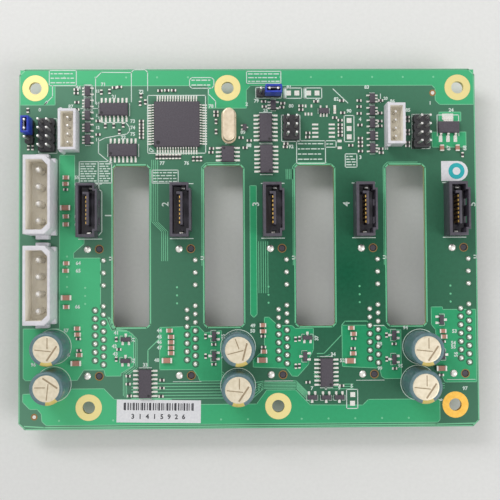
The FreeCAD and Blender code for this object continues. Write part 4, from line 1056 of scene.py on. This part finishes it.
# Chip capacitors: brown ceramic blocks with a tinned cap on each end, in two
# sizes, soldered flat on the board.
SMALL_CHIPS = [(bay + x, y, 0) for bay, places in zip(BAY_X, (
    ((-10.05, 21.68), (-10.14, 19.71), (-10.04, 9.75), (-10.04, 7.31), (-9.93, -4.58),
     (-10.12, -6.86), (-9.92, -17.88), (-6.61, -24.44), (-6.49, -26.26), (-6.0, -32.48)),
    ((-6.56, -25.24), (-6.08, -27.16), (-6.08, -28.8), (-6.08, -30.5), (-6.08, -32.1)),
    ((-6.07, -23.8), (-6.02, -25.66), (-5.84, -31.84)),
    ((-7.04, -24.81), (-6.35, -26.65), (-6.54, -32.59)),
    ((-6.88, -25.96), (-6.6, -27.67)))) for x, y in places]
SMALL_CHIPS += [(59.77, 30.4, 90), (64.61, 30.4, 90)]
LARGE_CHIPS = [(bay + x, y, 0) for bay, places in zip(BAY_X, (
    ((-10.22, 12.39), (-9.93, -15.06), (-6.97, -34.99)), ((-7.35, -34.32),), ((-6.35, -34.42),),
    ((-7.45, -34.81),), ((-7.5, -37.34),))) for x, y in places]


def brick(x, length, width, height, round_edge):
    """A small block on the board, centred on a place on the X axis, with round edges."""
    bpy.ops.mesh.select_all(action="DESELECT")
    middle = (x * MM, 0, (BOARD_TOP + 0.05 + height / 2) * MM)
    bpy.ops.mesh.primitive_cube_add(size=MM, location=middle)
    bpy.ops.transform.resize(value=(length, width, height), center_override=middle)
    bpy.ops.mesh.bevel(offset=round_edge * MM, segments=1, affect="EDGES")


def chip_part(name, places, size, cap, body_finish, *replaced):
    """The ceramic bodies and the tinned ends of one size of chip part."""
    length, width, height = size
    body = start(f"{name}_body")
    brick(0, length - 1.6 * cap, width * 0.96, height * 0.94, 0.03)
    close(copies(body, places, f"{name}_bodies"), body_finish, "ceramic_chip", *replaced)
    ends = start(f"{name}_end")
    for side in (-1, 1):
        brick(side * (length - cap) / 2, cap, width, height, 0.08)
    close(copies(ends, places, f"{name}_ends"), end_metal, "tinned_metal")


end_metal = finish("end_metal", (232, 228, 218), (244, 241, 234), 0.35, metal=0.45)
ceramic = finish("ceramic", (176, 124, 106), (194, 142, 124), 0.5)
chip_part("small_chip", SMALL_CHIPS, (2.0, 1.25, 0.9), 0.42, ceramic, "chip_capacitors")
chip_part("large_chip", LARGE_CHIPS, (3.2, 1.6, 1.2), 0.55, ceramic)

# Chip resistors: thin black films on a ceramic base with bright ends, in rows
# beside the chips, headers and transistors.
RESISTORS = [(x, y, 0) for x, *heights in (
    (-57.0, 39.2, 37.9, 35.9, 33.4, 32.0, 30.7), (-56.0, 18.0), (-52.8, 48.8, 47.7),
    (-52.6, 44.9, 42.6), (-52.1, -27.6), (-51.9, -31.1), (-46.1, 39.1, 34.9), (-41.1, 49.4),
    (-39.8, -30.9), (-39.5, 49.6), (-37.0, -39.0, -41.4), (-36.6, -45.0),
    (-32.8, 39.0, 37.95, 36.95, 35.95, 34.95, 33.9), (-27.1, 48.4), (-27.0, -45.2),
    (-26.7, -40.3, -42.7), (-25.0, 48.5), (-22.9, 48.5), (-11.5, 29.3), (-11.3, 30.5),
    (-10.9, -29.6, -35.6), (-9.9, 41.8, 40.7), (-2.2, 33.8), (-1.0, 30.7), (0.3, 32.9),
    (4.2, -27.2), (4.3, -30.5), (4.8, 45.0), (5.0, 43.4), (10.4, 43.2), (10.7, 44.4),
    (11.4, 30.9), (11.6, 31.9), (16.3, 43.6, 42.4), (17.8, -41.3), (18.3, 33.9), (18.4, 35.2),
    (20.9, 45.0), (26.7, 39.9), (28.1, -42.4), (28.4, 39.1, 37.7, 36.6, 35.5, 34.4),
    (28.9, 45.2), (29.2, 41.4), (31.6, 31.3), (31.7, -31.1), (31.9, -28.1),
    (34.3, 45.2, 43.3, 41.2), (34.5, 37.6), (34.6, 33.5, 32.3, 31.1, 29.5),
    (40.7, 41.3, 38.8, 37.3), (40.9, 30.2), (41.0, 45.2, 29.0), (44.3, -29.8), (44.4, -37.3),
    (49.2, 40.0, 38.8, 35.9, 34.8, 32.2, 31.1), (58.7, -39.4), (59.4, -29.2)) for y in heights]
RESISTORS += [(x, y, 90) for y, *places in (
    (48.2, -42.6), (48.0, -45.1), (46.9, -32.9), (44.9, -31.6), (44.5, -33.2), (42.4, -67.6),
    (38.8, -9.9), (37.8, -38.4), (37.6, -43.9, -41.3), (35.7, -39.6, -9.9),
    (30.9, -67.4, -66.1), (28.3, 66.2),
    (28.0, -28.1, -27.1, -26.1, -25.1, -24.1, -23.1, -22.1, -21.1), (27.3, -16.9, -15.7, -14.6),
    (-27.1, -13.4, 42.0), (-27.8, -40.6), (-28.0, 15.3), (-28.2, 14.1), (-33.1, -13.4),
    (-33.8, -40.6), (-34.4, 42.0), (-36.3, 15.2), (-36.4, 14.1)) for x in places]
film_black = finish("film_black", (50, 46, 50), (64, 60, 62), 0.45)
chip_part("resistor", RESISTORS, (1.6, 0.8, 0.45), 0.48, film_black)

# Small three-legged part between the crystal and the logic chips: a moulded body
# with two leads on one side and one on the other.
THREE_LEG = (-1.1, 37.0)
three_leg = start("three_leg_body")
brick(0, 1.9, 1.2, 0.9, 0.08)
close(copies(three_leg, (THREE_LEG + (90,),), "three_leg_part"), chip_black, "chip_moulding")
model = start("three_leg_lead")
gull_wing(0.58, 1.1, 0.45, 0.4, 0.3)
leg_places = lead_row([THREE_LEG + (0,)], 180, 2, 1.2) + [THREE_LEG + (0,)]
close(copies(model, leg_places, "three_leg_leads"), solder, "tinned_metal")

# Indicator lamp: a clear lens on a white base between two metal ends, soldered
# flat on the board near the upper edge.
LAMP_PLACE = ((26.77, 42.48, 90),)
lamp_base = start("indicator_base")
brick(0, 1.5, 0.8, 0.4, 0.04)
lamp_white = finish("lamp_white", (230, 228, 220), (240, 238, 232), 0.45)
close(copies(lamp_base, LAMP_PLACE, "indicator_base"), lamp_white, "lamp_lens", "indicator")
lens = start("indicator_lens")
dome(BOARD_TOP + 0.44, 0.34, 0.16, 16)
lens_clear = finish("lens_clear", (244, 236, 206), (248, 242, 220), 0.15)
close(copies(lens, LAMP_PLACE, "indicator_lens"), lens_clear, "lamp_lens")
ends = start("indicator_ends")
for side in (-1, 1):
    brick(side * 1.05, 0.55, 0.85, 0.25, 0.05)
close(copies(ends, LAMP_PLACE, "indicator_ends"), end_metal, "tinned_metal")

# Labels: printed paper, one long with rows of bars and plain digits, one small
# with a round end and a teal ring.
paper = finish("paper", (226, 226, 230), (238, 238, 240), 0.6, grain=1400)
dress(paper, "serial_label", "inspection_label")
LABEL_LEVEL = BOARD_TOP + 0.112
LABEL_PRINT = 0.012
label_ink = finish("label_ink", (40, 40, 46), (56, 56, 62), 0.6)
bars = start("label_bars")
x = -10.6
step = 0
while x < 10.6:
    width = 0.16 + 0.12 * (step * 7 % 4)
    strip(((x, 0.4), (x, 2.4)), width, LABEL_LEVEL)
    x += width + 0.2 + 0.1 * (step * 5 % 3)
    step += 1
thicken(LABEL_PRINT)
close(copies(bars, ((-27.73, -49.78, -1),), "label_bars"), label_ink, "label_paper")
digits = [number(digit, -35.6 + 2.2 * place, -51.3 - 0.04 * place, 1.4, -1)
          for place, digit in enumerate((3, 1, 4, 1, 5, 9, 2, 6))]
for digit in digits:
    digit.location.z = LABEL_LEVEL * MM
close(join(digits, "label_digits"), label_ink, "label_paper")
teal = finish("teal_print", (24, 172, 178), (40, 184, 190), 0.5)
sticker_ring = start("sticker_ring")
ring(64.3, 23.27, LABEL_LEVEL, 2.5, 1.3, 40)
thicken(LABEL_PRINT)
close(sticker_ring, teal, "label_paper")

# Underside: the pins of the headers and cans end in solder joints under the board,
# among a few printed outlines.
FOUR_PINS = (-1.5, -0.5, 0.5, 1.5)
THREE_PINS = (-1, 0, 1)
SIDEBAND_PLACES = ((-61.5, 34.55), (53.25, 35.4))
pin_places = []
for bay in BAY_X:
    pin_places += [(bay - 2.9, HEADER_Y + 1.27 * step) for step in range(-3, 4)]
    pin_places += [(bay + HEADER_X, HEADER_Y + side * 6.4) for side in (-1, 1)]
pin_places += [(POWER_X, y + 5.08 * step) for y in POWER_Y.values() for step in FOUR_PINS]
pin_places += [(x, y + 2.5 * step) for x, y, angle in BUS_PLACES.values() for step in FOUR_PINS]
pin_places += [(x + side * 1.27, y + 2.54 * step) for x, y in SIDEBAND_PLACES
               for side in (-1, 1) for step in FOUR_PINS]
pin_places += [(13.15 + side * 1.27, 36.7 + 2.54 * step) for side in (-1, 1)
               for step in THREE_PINS]
pin_places += [(6.32 + 2.54 * step, 47.4) for step in THREE_PINS]
pin_places += [(-66.8, 35.64 + 2.54 * step) for step in THREE_PINS]
pin_places += [(x, y + side * 2.5) for x, y in CAPACITORS for side in (-1, 1)]
pin_places += [(CRYSTAL[0], CRYSTAL[1] + side * 2.44) for side in (-1, 1)]
JOINT_RADIUS = 0.55
model = start("underside_joint")
disc(0, 0, BOARD_UNDERSIDE, JOINT_RADIUS, 12)
for share, drop in ((0.14, -0.4), (0.25, -0.35), (0.25, -0.15)):
    raise_face(drop, share * JOINT_RADIUS)
face_out()
bpy.ops.mesh.faces_shade_smooth()
close(copies(model, [(x, y, 0) for x, y in pin_places], "underside_joints"), solder,
      "tinned_metal")
underside_lines = start("underside_outlines")
for x, y in SIDEBAND_PLACES:
    strip(frame_of(x - 2.9, y - 5.4, x + 2.9, y + 5.4), LINE, BOARD_UNDERSIDE)
for x, y in CAPACITORS:
    strip(frame_of(x - 3, y - 4, x + 3, y + 4, 1.2), LINE, BOARD_UNDERSIDE)
thicken(INK_FILM)
close(underside_lines, ink, "laminate")

# Floor, light and camera: a pale floor, soft lamps, and the view of the photograph
# straight down on the board from about a quarter of a metre.
bpy.ops.object.select_all(action="DESELECT")
bpy.ops.mesh.primitive_plane_add(size=4)
floor = bpy.context.object
floor.name = "floor"
floor.data.materials.append(finish("floor_paper", (236, 236, 234), (240, 240, 238),
                                   0.9, gloss=0.1))


def softbox(name, place, aim, size, watts):
    """A square lamp that faces a place, both in metres."""
    bpy.ops.object.light_add(type="AREA", location=place)
    lamp = bpy.context.object
    lamp.name = name
    lamp.data.shape = "SQUARE"
    lamp.data.size = size
    lamp.data.energy = watts
    towards = [end - begin for begin, end in zip(place, aim)]
    flat = math.hypot(towards[0], towards[1])
    lamp.rotation_euler = (math.atan2(flat, -towards[2]), 0,
                           math.atan2(towards[0], towards[1]) + math.pi)


softbox("key_softbox", (-0.35, 0.45, 0.55), (0, 0, 0), 0.45, 5.0)
softbox("fill_softbox", (0.5, -0.3, 0.5), (0, 0, 0), 0.5, 2.0)

world = bpy.data.worlds.new("studio")
bpy.context.scene.world = world
world.use_nodes = True
sky = world.node_tree
ray = sky.nodes.new("ShaderNodeLightPath")
seen = sky.nodes.new("ShaderNodeMath")
seen.operation = "MAXIMUM"
through = sky.nodes.new("ShaderNodeMath")
through.operation = "MAXIMUM"
strength = sky.nodes.new("ShaderNodeMapRange")
strength.inputs["To Min"].default_value = 0.5
strength.inputs["To Max"].default_value = 1.0
sky.nodes["Background"].inputs["Color"].default_value = (1, 1, 1, 1)
sky.links.new(ray.outputs["Is Camera Ray"], seen.inputs[0])
sky.links.new(ray.outputs["Is Glossy Ray"], seen.inputs[1])
sky.links.new(seen.outputs[0], through.inputs[0])
sky.links.new(ray.outputs["Is Transmission Ray"], through.inputs[1])
sky.links.new(through.outputs[0], strength.inputs["Value"])
sky.links.new(strength.outputs["Result"], sky.nodes["Background"].inputs["Strength"])

bpy.ops.object.camera_add(location=(-0.005426, -0.009098, 0.284539),
                          rotation=(math.radians(1.9686), math.radians(-1.0072),
                                    math.radians(-0.3459)))
camera = bpy.context.object
camera.name = "photograph_view"
camera.data.sensor_width = 36
camera.data.lens = 64.46
camera.data.shift_x = 0.0058
camera.data.shift_y = -0.0072
camera.data.clip_start = 0.01
bpy.context.scene.camera = camera
bpy.context.scene.view_settings.view_transform = "Standard"
